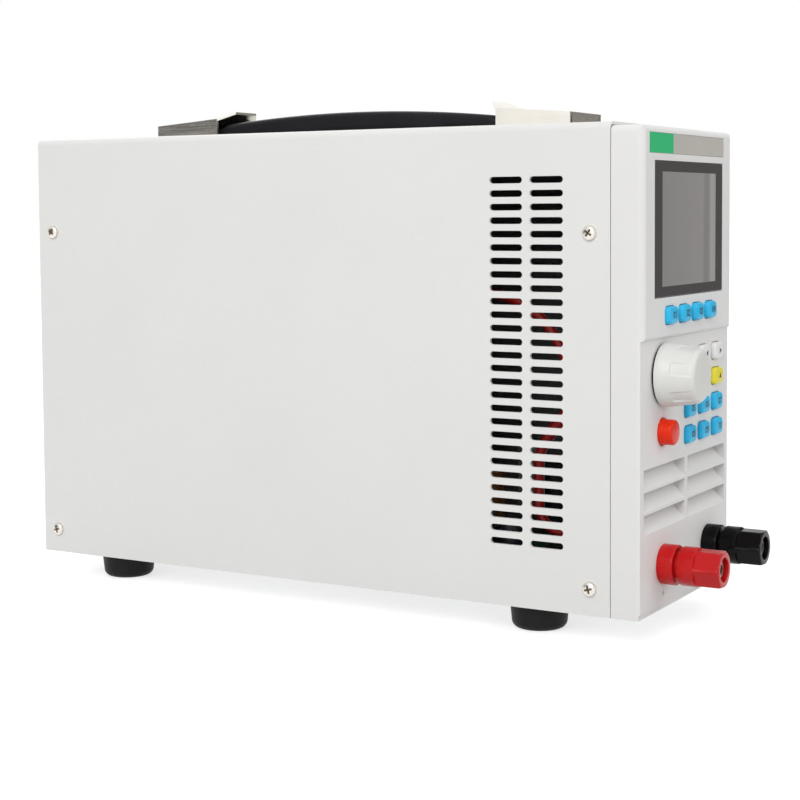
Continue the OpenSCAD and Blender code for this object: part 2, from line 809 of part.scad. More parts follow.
module rubber_foot() {
    head_r = screw_head_d / 2 + 4 * screw_gap;
    difference() {
        rotate_extrude() union() {
            polygon([
                [0, 0], [foot_top_d / 2, 0], [foot_top_d / 2, -1],
                [foot_low_d / 2, foot_edge - foot_h], [0, foot_edge - foot_h]
            ]);
            translate([0, -foot_h]) square([foot_low_d / 2 - foot_edge, foot_h]);
            translate([foot_low_d / 2 - foot_edge, foot_edge - foot_h]) circle(foot_edge);
        }
        translate([0, 0, -foot_h - cut])
            cylinder(r = screw_d / 2 + screw_gap, h = foot_h + 2 * cut);
        translate([0, 0, -foot_h - cut]) cylinder(r = head_r, h = foot_h - foot_web + cut);
    }
}

module rubber_feet() color("black") at_seam()
    for (sx = [-1, 1], y = foot_ys) translate([sx * foot_x, y, 0]) rubber_foot();

// Side outline of an end cap: distance outwards from its mouth, and height
module cap_outline_2d(inset) {
    polygon([
        [-cut * inset, 0], [cap_l + cut * inset, 0],
        [cap_l + cut * inset, cap_low_h - inset - cut * inset * cap_slope],
        [-cut * inset, cap_high_h - inset + cut * inset * cap_slope]
    ]);
}

// An end cap of the handle with its mouth at y = 0, facing -Y
module handle_cap() {
    difference() {
        union() {
            difference() {
                along_x(-cap_w / 2, cap_w) cap_outline_2d(0);
                translate([0, 0, -cut])
                    along_x(-cap_w / 2 + cap_t, cap_w - 2 * cap_t) translate([0, cut]) {
                        cap_outline_2d(cap_t);
                        translate([-cut, -2 * cut]) square([cap_l + 2 * cut, 2 * cut]);
                    }
            }
            along_x(-flap_half, 2 * flap_half) intersection() {
                cap_outline_2d(0);
                translate([cap_l - cap_t, 0]) square([cap_t, cap_high_h]);
            }
            translate([0, cap_bush_y, 0]) cylinder(d = cap_bush_d, h = cap_bush_h);
            // The lip is a bent plate, cut to a tapering tongue
            intersection() {
                along_x(-cap_w / 2, cap_w) polygon([
                    [0.5, cap_high_h - 0.5 * cap_slope], [0.5, cap_high_h - cap_t],
                    [0, cap_high_h - cap_t], [-lip_reach, cap_high_h + lip_rise - cap_t],
                    [-lip_reach, cap_high_h + lip_rise], [0, cap_high_h]
                ]);
                linear_extrude(cap_high_h + lip_rise + cut) polygon([
                    [-cap_w / 2, cut], [-cap_w / 2, 0], [-lip_tip_w / 2, -lip_reach],
                    [lip_tip_w / 2, -lip_reach], [cap_w / 2, 0], [cap_w / 2, cut]
                ]);
            }
        }
        translate([0, cap_bush_y, -cut])
            cylinder(r = handle_screw_d / 2 + thread_gap, h = cap_bush_h - cap_t + cut);
    }
}

module handle_cap_front() color("silver") at_seam()
    translate([0, handle_y - mouth_half, case_h]) mirror([0, 1, 0]) handle_cap();

module handle_cap_rear() color("silver") at_seam()
    translate([0, handle_y + mouth_half, case_h]) handle_cap();

// A round-headed screw with its head's underside at z = 0 and its shank below
module round_screw(d, l) {
    head_d = 1.9 * d;
    translate([0, 0, -l]) cylinder(d = d, h = l + round_head_h / 2);
    intersection() {
        cylinder(d = head_d, h = round_head_h);
        translate([0, 0, round_head_h - head_d]) sphere(head_d);
    }
}

// The handle's screws come up through the cover's top into the end caps' bushes
module handle_screws() color("lightgray") at_seam()
    for (s = [-1, 1])
        translate([0, handle_y + s * handle_screw_half, inner_top]) rotate([180, 0, 0])
            round_screw(handle_screw_d, sheet_t + cap_bush_h - 2 * cap_t);

// A piece of the strap's bow between two distances from the handle's middle
module strap_bow(from, to, thick) {
    start = asin(from / strap_r);
    sweep = asin(to / strap_r) - start;
    translate([0, handle_y, strap_centre_z]) rotate([90, 0, 90]) rotate([0, 0, 90 - start - sweep])
        rotate_extrude(angle = sweep, $fn = 360)
            translate([strap_r - thick / 2, 0]) rounded_2d(thick, strap_w, 2);
}

module strap_grip() color([0.14, 0.15, 0.17]) at_seam() strap_bow(-grip_half, grip_half, grip_t);

// A flexible strap end towards +Y: the bow runs down into a slotted tongue
module strap_end() difference() {
    bow_end = mouth_half - 1.5;
    union() {
        strap_bow(grip_half, bow_end, strap_t);
        translate([0, handle_y, tongue_z]) along_y(bow_end - 4, tongue_half - bow_end + 4)
            translate([0, tongue_t / 2]) rounded_2d(strap_w - 1, tongue_t, 1);
    }
    translate([0, handle_y + handle_screw_half, tongue_z - cut]) linear_extrude(tongue_t + 2 * cut)
        rotate(90) slot_2d(tongue_slot_l, cap_bush_d + 1);
}

module strap_flex_rear() color([0.14, 0.15, 0.17]) at_seam() strap_end();

module strap_flex_front() color([0.14, 0.15, 0.17]) at_seam()
    translate([0, handle_y, 0]) mirror([0, 1, 0]) translate([0, -handle_y, 0]) strap_end();

module display_lens() color([0.2, 0.2, 0.21]) at_seam()
    on_front(0, -upper_d + lens_t, lens_z) linear_extrude(lens_t)
        rounded_2d(lens_w, lens_h, 0.8);

module lcd_module() color([0.55, 0.54, 0.53]) at_seam() on_front(0, -pcb_front, lens_z) {
    spacer_l = upper_in - pcb_front - panel_t;
    spacer_d = 5;
    spacer_in = 7;
    translate([0, 0, spacer_l]) linear_extrude(panel_t)
        square([lens_w - lens_border_z, lens_h - lens_border_z / 2], center = true);
    for (sx = [-1, 1], sy = [-1, 1])
        translate([sx * (lens_w / 2 - spacer_in), sy * (lens_h / 2 - spacer_in), 0])
            cylinder(d = spacer_d, h = spacer_l + panel_t / 2);
}

module name_strip() color([0.8, 0.79, 0.75]) at_seam()
    on_front(strip_x, -upper_d + strip_t, strip_z) linear_extrude(strip_t)
        rounded_2d(strip_w, strip_h, 0.5);

// A key with its crowned cap, its flange behind the panel and its stem
module key(x, z, panel_d) on_front(x, 0, z) {
    tip = pcb_front + switch_h - plunger_in;
    intersection() {
        translate([0, 0, panel_d - wall]) linear_extrude(wall + key_out) rounded_2d(key_w, key_h, key_r);
        translate([-key_w, 0, panel_d + key_out - key_crown]) rotate([0, 90, 0])
            cylinder(r = key_crown, h = 2 * key_w);
        translate([0, key_h, panel_d + key_out - key_crown_x]) rotate([90, 0, 0])
            cylinder(r = key_crown_x, h = 2 * key_h);
    }
    translate([0, 0, panel_d - wall - key_rim_t]) linear_extrude(key_rim_t)
        rounded_2d(key_hole_w + 2 * key_rim, key_hole_h + 2 * key_rim, key_r);
    translate([0, 0, tip]) cylinder(d = plunger_d, h = panel_d - wall - tip);
}

module mode_key(i) color([0.16, 0.62, 0.9]) at_seam() key(mode_xs[i], mode_z, upper_d);

module function_key(i) color([0.16, 0.62, 0.9]) at_seam()
    key(lower_spots[i][0], lower_spots[i][1], lower_d);

module shift_key() color([0.88, 0.82, 0.2]) at_seam()
    key(lower_spots[6][0], lower_spots[6][1], lower_d);

module arrow_key(i) color("white") at_seam()
    key(lower_spots[7 + i][0], lower_spots[7 + i][1], lower_d);

module load_button() color([0.88, 0.18, 0.1]) at_seam() on_front(load_x, 0, load_z) {
    tip = pcb_front + switch_h - plunger_in;
    cap_r = load_cap_d / 2;
    edge = 1.2;
    translate([0, 0, tip]) cylinder(d = plunger_d, h = lower_in - tip);
    translate([0, 0, lower_in - key_rim_t])
        cylinder(r = load_shoulder_d / 2 + key_gap + key_rim, h = key_rim_t);
    translate([0, 0, lower_in]) cylinder(d = load_shoulder_d, h = wall + shoulder_out);
    translate([0, 0, lower_d]) rotate_extrude() union() {
        square([cap_r, load_out - edge]);
        square([cap_r - edge, load_out]);
        translate([cap_r - edge, load_out - edge]) circle(edge);
    }
}

module knob() color("white") at_seam() on_front(knob_x, -lower_d, knob_z) difference() {
    base_r = knob_base_d / 2;
    face_r = knob_face_d / 2;
    edge = 2;
    skirt = 2;
    flank = atan((base_r - face_r) / (knob_l - edge - skirt));
    pad_z = knob_l * 0.6;
    pad_r = base_r - (pad_z - skirt) * tan(flank);
    translate([0, 0, knob_gap]) rotate_extrude() union() {
        polygon([
            [0, 0], [base_r, 0], [base_r, skirt], [face_r, knob_l - edge],
            [face_r - edge, knob_l - edge], [face_r - edge, knob_l], [0, knob_l]
        ]);
        translate([face_r - edge, knob_l - edge]) circle(edge);
    }
    cylinder(r = shaft_d / 2 + run_gap, h = shaft_end);
    cylinder(r = bush_d / 2 + 2, h = bush_out + 1);
    for (i = [0:knob_pads - 1])
        rotate([0, 0, knob_phase + i * 360 / knob_pads])
            translate([pad_r, 0, knob_gap + pad_z]) rotate([0, -flank, 0])
                translate([-knob_pad_d, -knob_pad_w / 2, -knob_pad_l / 2])
                    cube([base_r, knob_pad_w, knob_pad_l]);
}

module encoder_body() color([0.3, 0.3, 0.32]) at_seam() on_front(knob_x, 0, knob_z) difference() {
    union() {
        translate([-encoder_w / 2, -encoder_w / 2, pcb_front]) cube([encoder_w, encoder_w, encoder_h]);
        translate([0, 0, pcb_front]) cylinder(d = bush_d, h = lower_d + bush_out - pcb_front);
    }
    translate([0, 0, pcb_front + encoder_floor])
        cylinder(r = shaft_d / 2 + run_gap, h = lower_d + bush_out);
}

module encoder_shaft() color("silver") at_seam() on_front(knob_x, 0, knob_z)
    translate([0, 0, pcb_front + encoder_floor + sheet_fit])
        cylinder(d = shaft_d, h = lower_d + shaft_end - pcb_front - encoder_floor - 2 * sheet_fit);

module front_pcb() color("seagreen") at_seam() difference() {
    box([-cavity_half + sheet_fit, -pcb_front, pcb_low], [cavity_half - sheet_fit, -pcb_back, pcb_high]);
    for (s = [-1, 1], z = boss_zs)
        on_front(s * boss_x, -pcb_back + cut, z)
            cylinder(r = spigot_d / 2 + screw_gap, h = board_t + 2 * cut);
}

module tact_switch(x, z) on_front(x, -pcb_front, z) difference() {
    translate([-switch_w / 2, -switch_w / 2, 0]) cube([switch_w, switch_w, switch_h]);
    translate([0, 0, switch_h - plunger_in - key_travel - switch_play])
        cylinder(r = plunger_d / 2 + switch_play, h = switch_h);
}

module tact_switches() color([0.12, 0.12, 0.12]) at_seam() {
    for (x = mode_xs) tact_switch(x, mode_z);
    for (spot = lower_spots) tact_switch(spot[0], spot[1]);
    tact_switch(load_x, load_z);
}

// Pieces of a post draw with z = 0 on the lower front plane
module on_post(side) {
    at_seam() on_front(side * post_x, -lower_d, post_z) children();
}

module post_base(side) on_post(side) difference() {
    base_r = post_base_d / 2;
    edge = 0.6;
    rotate_extrude() union() {
        translate([0, -wall]) square([neck_r, post_cap_z + wall]);
        square([base_r, post_base_l - edge]);
        square([base_r - edge, post_base_l]);
        translate([base_r - edge, post_base_l - edge]) circle(edge);
    }
    translate([0, 0, -wall - cut]) cylinder(r = stem_r + thread_gap, h = post_cap_z + wall + 2 * cut);
}

module post_stem(side) color("silver") on_post(side) difference() {
    translate([0, 0, stem_back_z]) cylinder(r = stem_r, h = stem_end_z - stem_back_z);
    translate([0, 0, stem_end_z - socket_l]) cylinder(d = socket_d, h = socket_l + cut);
}

module post_washer(side) color("silver") on_post(side) translate([0, 0, post_cap_z]) difference() {
    cylinder(r = washer_r, h = washer_t);
    translate([0, 0, -cut]) cylinder(r = stem_r + 2 * run_gap, h = washer_t + 2 * cut);
}

module post_cap(side) on_post(side) difference() {
    recess = 4.2;
    recess_r = stem_r + 1.4;
    edge = 0.8;
    end_r = post_cap_r - edge;
    intersection() {
        union() {
            translate([0, 0, post_cap_z]) cylinder(r = post_cap_r, h = post_collar_l);
            translate([0, 0, post_cap_z]) cylinder(r = post_cap_r, h = post_end_z - post_cap_z, $fn = 6);
        }
        rotate_extrude() polygon([
            [0, post_cap_z], [end_r, post_cap_z], [post_cap_r, post_cap_z + edge],
            [post_cap_r, post_end_z - edge], [end_r - edge / 2, post_end_z], [0, post_end_z]
        ]);
    }
    translate([0, 0, post_cap_z - cut]) cylinder(r = stem_r + run_gap, h = post_end_z);
    translate([0, 0, post_cap_z - cut]) cylinder(r = washer_r + washer_gap, h = washer_t + washer_gap + cut);
    translate([0, 0, post_end_z - recess]) cylinder(r = recess_r, h = recess + cut);
}

module post_nuts() color("silver") for (side = [-1, 1]) on_post(side)
    for (z = [nut_seat_z - nut_t, nut_seat_z - 2 * nut_t - lug_t]) difference() {
        translate([0, 0, z]) cylinder(r = nut_r, h = nut_t, $fn = 6);
        translate([0, 0, z - cut]) cylinder(r = stem_r + thread_gap, h = nut_t + 2 * cut);
    }

module fan_frame() color([0.1, 0.1, 0.11]) at_seam() on_rear(0, rear_in_y - fan_d, fan_z) difference() {
    linear_extrude(fan_d) rounded_2d(fan_w, fan_w, 4);
    // The duct is cut round the motor's hub, its four struts and its pin
    difference() {
        translate([0, 0, -cut]) cylinder(d = fan_bore_d, h = fan_d + 2 * cut);
        translate([0, 0, fan_d - strut_t]) {
            cylinder(r = hub_r, h = strut_t);
            for (a = [20, 110])
                rotate(a) translate([-fan_w, -strut_t / 2, strut_t / 8])
                    cube([2 * fan_w, strut_t, strut_t * 3 / 4]);
        }
        translate([0, 0, hub_face_z + strut_t]) cylinder(r = pin_r, h = fan_d - 2 * strut_t);
    }
    for (sx = [-1, 1], sz = [-1, 1])
        translate([sx * fan_pitch / 2, sz * fan_pitch / 2, -cut])
            cylinder(r = fan_screw_d / 2 + thread_gap, h = fan_d + 2 * cut);
}

module fan_impeller() color([0.14, 0.14, 0.15]) at_seam() on_rear(0, rear_in_y - fan_d, fan_z)
    difference() {
        depth = fan_d - 2 * strut_t;
        tip_r = fan_bore_d / 2 - fan_gap;
        blade = 1.6;
        union() {
            translate([0, 0, hub_face_z]) cylinder(r = hub_r, h = depth);
            intersection() {
                translate([0, 0, hub_face_z + 0.5]) cylinder(r = tip_r, h = depth - 1);
                for (i = [0:fan_blades - 1])
                    rotate([0, 0, i * 360 / fan_blades]) translate([hub_r - 2, 0, hub_face_z + depth / 2])
                        rotate([38, 0, 0]) translate([0, -hub_r, -blade / 2]) cube([tip_r, 2 * hub_r, blade]);
            }
        }
        translate([0, 0, hub_face_z + strut_t - 0.2]) cylinder(r = pin_r + run_gap, h = fan_d);
    }

// Flat finger guard: rings welded over four arms that end in screw eyes
module fan_guard() color("silver") at_seam() on_rear(0, rear_y, fan_z) {
    wire_r = guard_wire_d / 2;
    corner = fan_pitch / sqrt(2);
    inner = 9;
    rings = 4;
    step = (fan_bore_d / 2 - guard_wire_d - inner) / (rings - 1);
    for (i = [0:rings - 1])
        translate([0, 0, guard_reach - wire_r]) rotate_extrude()
            translate([inner + i * step, 0]) circle(wire_r);
    for (a = [45:90:315]) rotate([0, 0, a]) {
        translate([inner - 1, 0, wire_r]) rotate([0, 90, 0])
            cylinder(r = wire_r, h = corner - eye_r - inner + 1);
        translate([corner, 0, wire_r]) rotate_extrude() translate([eye_r, 0]) circle(wire_r);
    }
}

module fan_screws() color("lightgray") at_seam() on_rear(0, rear_y + guard_wire_d, fan_z)
    for (sx = [-1, 1], sz = [-1, 1])
        translate([sx * fan_pitch / 2, sz * fan_pitch / 2]) round_screw(fan_screw_d, fan_screw_l);

// Outline of the inlet's cavity, with its two sloping upper corners
module inlet_hole_2d() {
    w = inlet_hole_w / 2;
    h = inlet_hole_h / 2;
    slope = 5;
    polygon([[-w, -h], [w, -h], [w, h - slope], [w - slope, h], [slope - w, h], [-w, h - slope]]);
}

module mains_inlet() color([0.09, 0.09, 0.1]) at_seam() on_rear(inlet_x, rear_y, inlet_z) {
    difference() {
        union() {
            linear_extrude(inlet_flange_t) rounded_2d(inlet_w, inlet_h, 2);
            translate([0, 0, -inlet_body_l]) linear_extrude(inlet_body_l)
                square([inlet_body_w, inlet_body_h], center = true);
        }
        translate([0, 0, inlet_flange_t - inlet_hole_l]) linear_extrude(inlet_hole_l + cut) inlet_hole_2d();
    }
    for (p = inlet_pins)
        translate([p[0], p[1], -inlet_hole_l]) linear_extrude(inlet_hole_l - 1)
            square([2, 4], center = true);
}

module rocker_frame() color([0.09, 0.09, 0.1]) at_seam() on_rear(rocker_x, rear_y, inlet_z) difference() {
    inside_w = rocker_w - 2 * rocker_rim;
    inside_h = rocker_h - 2 * rocker_rim;
    union() {
        linear_extrude(rocker_rim_t)
            rounded_2d(rocker_w + 2 * rocker_rim, rocker_h + 2 * rocker_rim, 1);
        translate([0, 0, -rocker_l]) linear_extrude(rocker_l) square([rocker_w, rocker_h], center = true);
        translate([-inside_w / 2, 0, rocker_axis_z]) rotate([0, 90, 0])
            cylinder(d = rocker_pin_d, h = inside_w);
    }
    difference() {
        translate([0, 0, rocker_floor - rocker_l]) linear_extrude(rocker_l + rocker_rim_t)
            square([inside_w, inside_h], center = true);
        translate([-rocker_w / 2, 0, rocker_axis_z]) rotate([0, 90, 0])
            cylinder(d = rocker_pin_d, h = rocker_w);
    }
}

module rocker_paddle() color([0.75, 0.1, 0.08]) at_seam() on_rear(rocker_x, rear_y, inlet_z)
    translate([0, 0, rocker_axis_z]) rotate([rocker_tilt, 0, 0]) {
        half = (rocker_h - 2 * rocker_rim) / 2 - 3 * rocker_gap;
        width = rocker_w - 2 * rocker_rim - 2 * rocker_gap;
        top = rocker_rim_t - rocker_axis_z;
        heel = rocker_pin_d + 1;
        along_x(-width / 2, width) difference() {
            polygon([
                [-half, 0], [-half, top + 1], [0, top - rocker_gap], [half, top + 1], [half, 0],
                [heel, -heel], [-heel, -heel]
            ]);
            circle(rocker_pin_d / 2 + run_gap);
        }
    }

module port_shell_2d(inset) {
    top = shell_top_w / 2 - inset;
    low = shell_low_w / 2 - inset;
    half = shell_h / 2 - inset;
    polygon([[-low, -half], [low, -half], [top, half], [-top, half]]);
}

module comm_port() color([0.55, 0.56, 0.58]) at_seam() on_rear(port_x, rear_y, port_z) difference() {
    union() {
        linear_extrude(port_flange_t) rounded_2d(port_w, port_h, 2);
        linear_extrude(shell_l) port_shell_2d(0);
        translate([0, 0, -port_body_l]) linear_extrude(port_body_l)
            square([shell_top_w, shell_h], center = true);
        for (s = [-1, 1])
            translate([s * port_screw_x, 0, 0]) cylinder(d = port_nut_d, h = shell_l, $fn = 6);
    }
    translate([0, 0, shell_l - shell_t]) linear_extrude(cut) port_shell_2d(shell_t);
    translate([0, 0, port_flange_t]) {
        for (i = [0:4])
            translate([(i - 2) * port_pin_pitch, port_row_half, 0]) cylinder(d = port_pin_d, h = shell_l);
        for (i = [0:3])
            translate([(i - 1.5) * port_pin_pitch, -port_row_half, 0])
                cylinder(d = port_pin_d, h = shell_l);
        for (s = [-1, 1])
            translate([s * port_screw_x, 0, 0]) cylinder(d = port_thread_d, h = shell_l);
    }
}

module main_pcb() color("seagreen") at_seam() translate([0, 0, board_z - board_t]) difference() {
    union() {
        box([-board_half, board_y, 0], [board_half, sink_y - board_gap, board_t]);
        box([-board_half, board_y, 0], [strip_board_x, board_end, board_t]);
    }
    for (spot = standoff_spots)
        translate([spot[0], spot[1], -cut])
            cylinder(r = standoff_pin_r + screw_gap, h = board_t + 2 * cut);
}

module pcb_standoffs() color("white") at_seam()
    for (spot = standoff_spots) translate([spot[0], spot[1], sheet_t]) {
        seat = board_z - board_t - sheet_t;
        snap_h = 2;
        cylinder(d = standoff_d, h = seat);
        cylinder(r = standoff_pin_r, h = seat + board_t + snap_h / 4);
        translate([0, 0, seat + board_t])
            cylinder(r1 = standoff_pin_r * 1.5, r2 = standoff_pin_r, h = snap_h);
    }

module heatsink() color([0.6, 0.61, 0.63]) at_seam() difference() {
    fin_t = 2;
    fin_low = board_z + 10;
    fin_step = (sink_h - fin_low) / (sink_fins - 1);
    along_y(sink_y, sink_end - sink_y) union() {
        translate([sink_x, sheet_t]) square([sink_base_t, sink_h - sheet_t]);
        translate([sink_x, sheet_t]) square([sink_right - sink_x, sink_foot_t]);
        for (i = [0:sink_fins - 1])
            translate([sink_x, fin_low + i * fin_step - fin_t]) square([sink_right - sink_x, fin_t]);
    }
    for (y = sink_screw_ys)
        translate([sink_screw_x, y, 0])
            cylinder(r = screw_d / 2 + thread_gap, h = sheet_t + sink_foot_t + cut);
}

// A three-legged power transistor standing on the main board
module power_transistor() {
    leg_h = 8;
    leg_w = 1.2;
    leg_pitch = 5.45;
    body_t = 5;
    body_w = 16;
    body_h = 21;
    translate([-body_t, -body_w / 2, leg_h]) cube([body_t, body_w, body_h]);
    for (i = [-1:1])
        translate([-body_t / 2, i * leg_pitch - leg_w / 2, 0]) cube([leg_w / 2, leg_w, leg_h + 1]);
}

module power_transistors() color([0.12, 0.12, 0.12]) at_seam() {
    margin = 14;
    first = sink_y + margin;
    step = (sink_end - sink_y - 2 * margin) / (transistors - 1);
    for (i = [0:transistors - 1]) translate([sink_x, first + i * step, board_z]) power_transistor();
}

module core_window_2d(side) {
    leg = core_l / 6;
    translate([side * core_l / 4 - leg / 2 + side * leg / 4, leg]) square([leg, core_h - 2 * leg]);
}

module transformer_core() color([0.28, 0.28, 0.3]) at_seam() translate([0, core_y, board_z]) difference() {
    along_x(-core_stack / 2, core_stack) translate([-core_l / 2, 0]) square([core_l, core_h]);
    for (side = [-1, 1]) along_x(-core_stack / 2 - cut, core_stack + 2 * cut) core_window_2d(side);
}

module transformer_winding() color([0.45, 0.28, 0.14]) at_seam()
    translate([0, core_y, board_z + core_l / 6 + sheet_fit]) {
        leg = core_l / 6;
        gap = sheet_fit;
        outer = core_l / 4 + leg / 2 + leg / 4 - gap;
        inner = core_l / 4 - leg / 2 + leg / 4 + gap;
        linear_extrude(core_h - 2 * leg - 2 * gap) difference() {
            rounded_2d(core_stack + 2 * (outer - inner), 2 * outer, 3);
            square([core_stack + 2 * gap, 2 * inner], center = true);
        }
    }

// The flag lug that a lead ends in, held on the stem between the two nuts
module post_lug() {
    lug_y = -lower_d - nut_seat_z + nut_t;
    difference() {
        union() {
            on_front(0, lug_y + lug_t, post_z) cylinder(r = nut_r, h = lug_t);
            box([-lead_r, lug_y, post_z], [lead_r, lug_y + lug_t, lead_z]);
            on_front(0, frame_back + 4, lead_z) cylinder(r = lead_r + 0.5, h = frame_back + 4 - lug_y);
        }
        on_front(0, lug_y + lug_t + cut, post_z) cylinder(r = stem_r + screw_gap, h = lug_t + 2 * cut);
    }
}

// A bend of lead about the origin in the Y-Z plane, with angles measured from the rear upwards
module lead_turn(radius, from_angle, sweep) {
    rotate([90, 0, 90]) rotate([0, 0, from_angle])
        rotate_extrude(angle = sweep) translate([radius, 0]) circle(lead_r);
}

// Rises behind the vents, leans to the front in a sleeve, rises on and swings back to the heatsink
module power_lead_red() color([0.75, 0.1, 0.08]) at_seam() translate([-post_x, 0, 0]) {
    up_y = lead_rise_y + lead_bend;
    front_y = up_y - lean_reach;
    low_y = up_y - lean_low_r;
    high_y = front_y + lean_high_r;
    swing_y = front_y + swing_r;
    across = [high_y - low_y, lean_high_z - lean_low_z];
    radii = lean_low_r + lean_high_r;
    lean_l = sqrt(across * across - radii * radii);
    lean = atan2(across[1], across[0]) - atan2(lean_l, radii);
    tail_y = sink_y + 10;
    post_lug();
    on_front(0, lead_rise_y, lead_z) cylinder(r = lead_r, h = lead_rise_y);
    translate([0, lead_rise_y, lead_z + lead_bend]) lead_turn(lead_bend, 270, 90);
    translate([0, up_y, lead_z + lead_bend]) cylinder(r = lead_r, h = lean_low_z - lead_z - lead_bend);
    translate([0, low_y, lean_low_z]) {
        lead_turn(lean_low_r, 0, lean);
        rotate([lean, 0, 0]) translate([0, lean_low_r, -sleeve_end])
            cylinder(r = lead_r + sleeve_t, h = lean_l + 2 * sleeve_end);
    }
    translate([0, high_y, lean_high_z]) lead_turn(lean_high_r, 180, lean);
    translate([0, front_y, lean_high_z]) cylinder(r = lead_r, h = swing_z - lean_high_z);
    translate([0, swing_y, swing_z]) lead_turn(swing_r, 90, 90);
    on_front(0, tail_y, red_top_z) cylinder(r = lead_r, h = tail_y - swing_y);
    box([0, sink_y + 2, red_top_z - lead_r], [sink_gap, tail_y + 8, red_top_z + lead_r]);
}

module power_lead_black() color([0.08, 0.08, 0.09]) at_seam() translate([post_x, 0, 0]) {
    drop_y = board_y + 10;
    bend = lead_z - board_z - 1;
    post_lug();
    on_front(0, drop_y, lead_z) cylinder(r = lead_r, h = drop_y);
    translate([0, drop_y, lead_z - bend]) rotate([90, 0, 90])
        rotate_extrude(angle = 90) translate([bend, 0]) circle(lead_r);
    translate([0, drop_y + bend, board_z]) cylinder(r = lead_r, h = lead_z - bend - board_z);
}

chassis_base();
top_cover();
rear_panel();
front_frame();
front_bezel();
case_screws();
rubber_feet();
handle_cap_front();
handle_cap_rear();
handle_screws();
strap_grip();
strap_flex_front();
strap_flex_rear();
display_lens();
lcd_module();
name_strip();
mode_key(0);  // mode_key_1
mode_key(1);  // mode_key_2
mode_key(2);  // mode_key_3
mode_key(3);  // mode_key_4
arrow_key(0);  // arrow_key_left
arrow_key(1);  // arrow_key_right
shift_key();
function_key(0);  // function_key_1
function_key(1);  // function_key_2
function_key(2);  // function_key_3
function_key(3);  // function_key_4
function_key(4);  // function_key_5
function_key(5);  // function_key_6
load_button();
knob();
encoder_body();
encoder_shaft();
front_pcb();
tact_switches();
color([0.78, 0.1, 0.1]) post_base(-1);  // post_base_red
color([0.1, 0.1, 0.1]) post_base(1);  // post_base_black
post_stem(-1);  // post_stem_red
post_stem(1);  // post_stem_black
post_washer(-1);  // post_washer_red
post_washer(1);  // post_washer_black
color([0.78, 0.1, 0.1]) post_cap(-1);  // post_cap_red
color([0.1, 0.1, 0.1]) post_cap(1);  // post_cap_black
post_nuts();
fan_frame();
fan_impeller();
fan_guard();
fan_screws();
mains_inlet();
rocker_frame();
rocker_paddle();
comm_port();
main_pcb();
pcb_standoffs();
heatsink();
power_transistors();
transformer_core();
transformer_winding();
power_lead_red();
power_lead_black();
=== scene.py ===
import logging
import math
from abc import ABC, abstractmethod
from dataclasses import dataclass, replace
from enum import Enum
from functools import cached_property
from typing import Sequence

import bmesh
import bpy
from mathutils import Matrix, Vector


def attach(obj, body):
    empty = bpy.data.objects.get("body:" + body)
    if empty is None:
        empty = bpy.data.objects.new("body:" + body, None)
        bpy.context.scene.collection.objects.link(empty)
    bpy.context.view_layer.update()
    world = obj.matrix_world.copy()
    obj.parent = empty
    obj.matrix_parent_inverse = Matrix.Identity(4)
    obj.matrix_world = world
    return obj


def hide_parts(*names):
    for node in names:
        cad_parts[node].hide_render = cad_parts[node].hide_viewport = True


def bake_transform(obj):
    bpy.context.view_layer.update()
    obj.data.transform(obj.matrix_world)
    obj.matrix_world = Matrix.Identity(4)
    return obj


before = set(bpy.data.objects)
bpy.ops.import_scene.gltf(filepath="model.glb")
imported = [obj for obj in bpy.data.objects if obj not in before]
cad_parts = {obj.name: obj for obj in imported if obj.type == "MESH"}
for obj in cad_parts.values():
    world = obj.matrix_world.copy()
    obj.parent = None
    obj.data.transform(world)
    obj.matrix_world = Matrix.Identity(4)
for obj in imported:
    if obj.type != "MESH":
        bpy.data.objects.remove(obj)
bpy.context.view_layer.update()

MM = 0.001
# The seam frame starts at the middle of the joint between bezel and cover, at the cover's lower edge.
SEAM = Vector((0.0, -0.11885, 0.011))
# Millimetres in front of the seam: the faces of the upper and lower panel and of the switches behind them.
UPPER_FACE, LOWER_FACE, SWITCH_FACE = 12.8, 11.5, 5.6
PANEL_WALL = 2.2
POST_X = 23.0
WELD = 2e-6
CREASE = 32.0
EVEN = (1.0, 1.0, 1.0)
NOISE_SPAN = (0.3, 0.7)
PRINT_SINK, PRINT_PROUD = -0.05, 0.03
LOG = logging.getLogger("electronic_load")

Colour = tuple[float, float, float]
Point = tuple[float, float, float]
Flat = tuple[float, float]
Ring = list[Vector]
Piece = bpy.types.Object
Socket = bpy.types.NodeSocket


def at(x: float, y: float, z: float) -> Vector:
    """Carries millimetres right of, behind and above the seam frame's start to the part's frame."""
    return SEAM + Vector((x, y, z)) * MM


def ease(value: float) -> float:
    """Holds a ramp between 0 and 1 and softens its ends."""
    share = min(1.0, max(0.0, value))
    return share * share * (3 - 2 * share)


class Facing(Enum):
    """Which way a piece's own z axis looks; the rows are its x, y and z axes."""

    FRONT = ((1, 0, 0), (0, 0, 1), (0, -1, 0))
    REAR = ((-1, 0, 0), (0, 0, 1), (0, 1, 0))
    LEFT = ((0, -1, 0), (0, 0, 1), (-1, 0, 0))
    RIGHT = ((0, 1, 0), (0, 0, 1), (1, 0, 0))
    UP = ((1, 0, 0), (0, 1, 0), (0, 0, 1))
    DOWN = ((1, 0, 0), (0, -1, 0), (0, 0, -1))

    def place(self, x: float, y: float, z: float) -> Matrix:
        """Gives the matrix that takes a piece's own millimetres to a place in the seam frame."""
        turn = Matrix(self.value).transposed().to_4x4()
        return Matrix.Translation(at(x, y, z)) @ turn @ Matrix.Scale(MM, 4)


def on_front(x: float, z: float, face: float = LOWER_FACE) -> Matrix:
    """Gives the matrix that takes a piece's own millimetres to a place on the front panel."""
    return Facing.FRONT.place(x, -face, z)


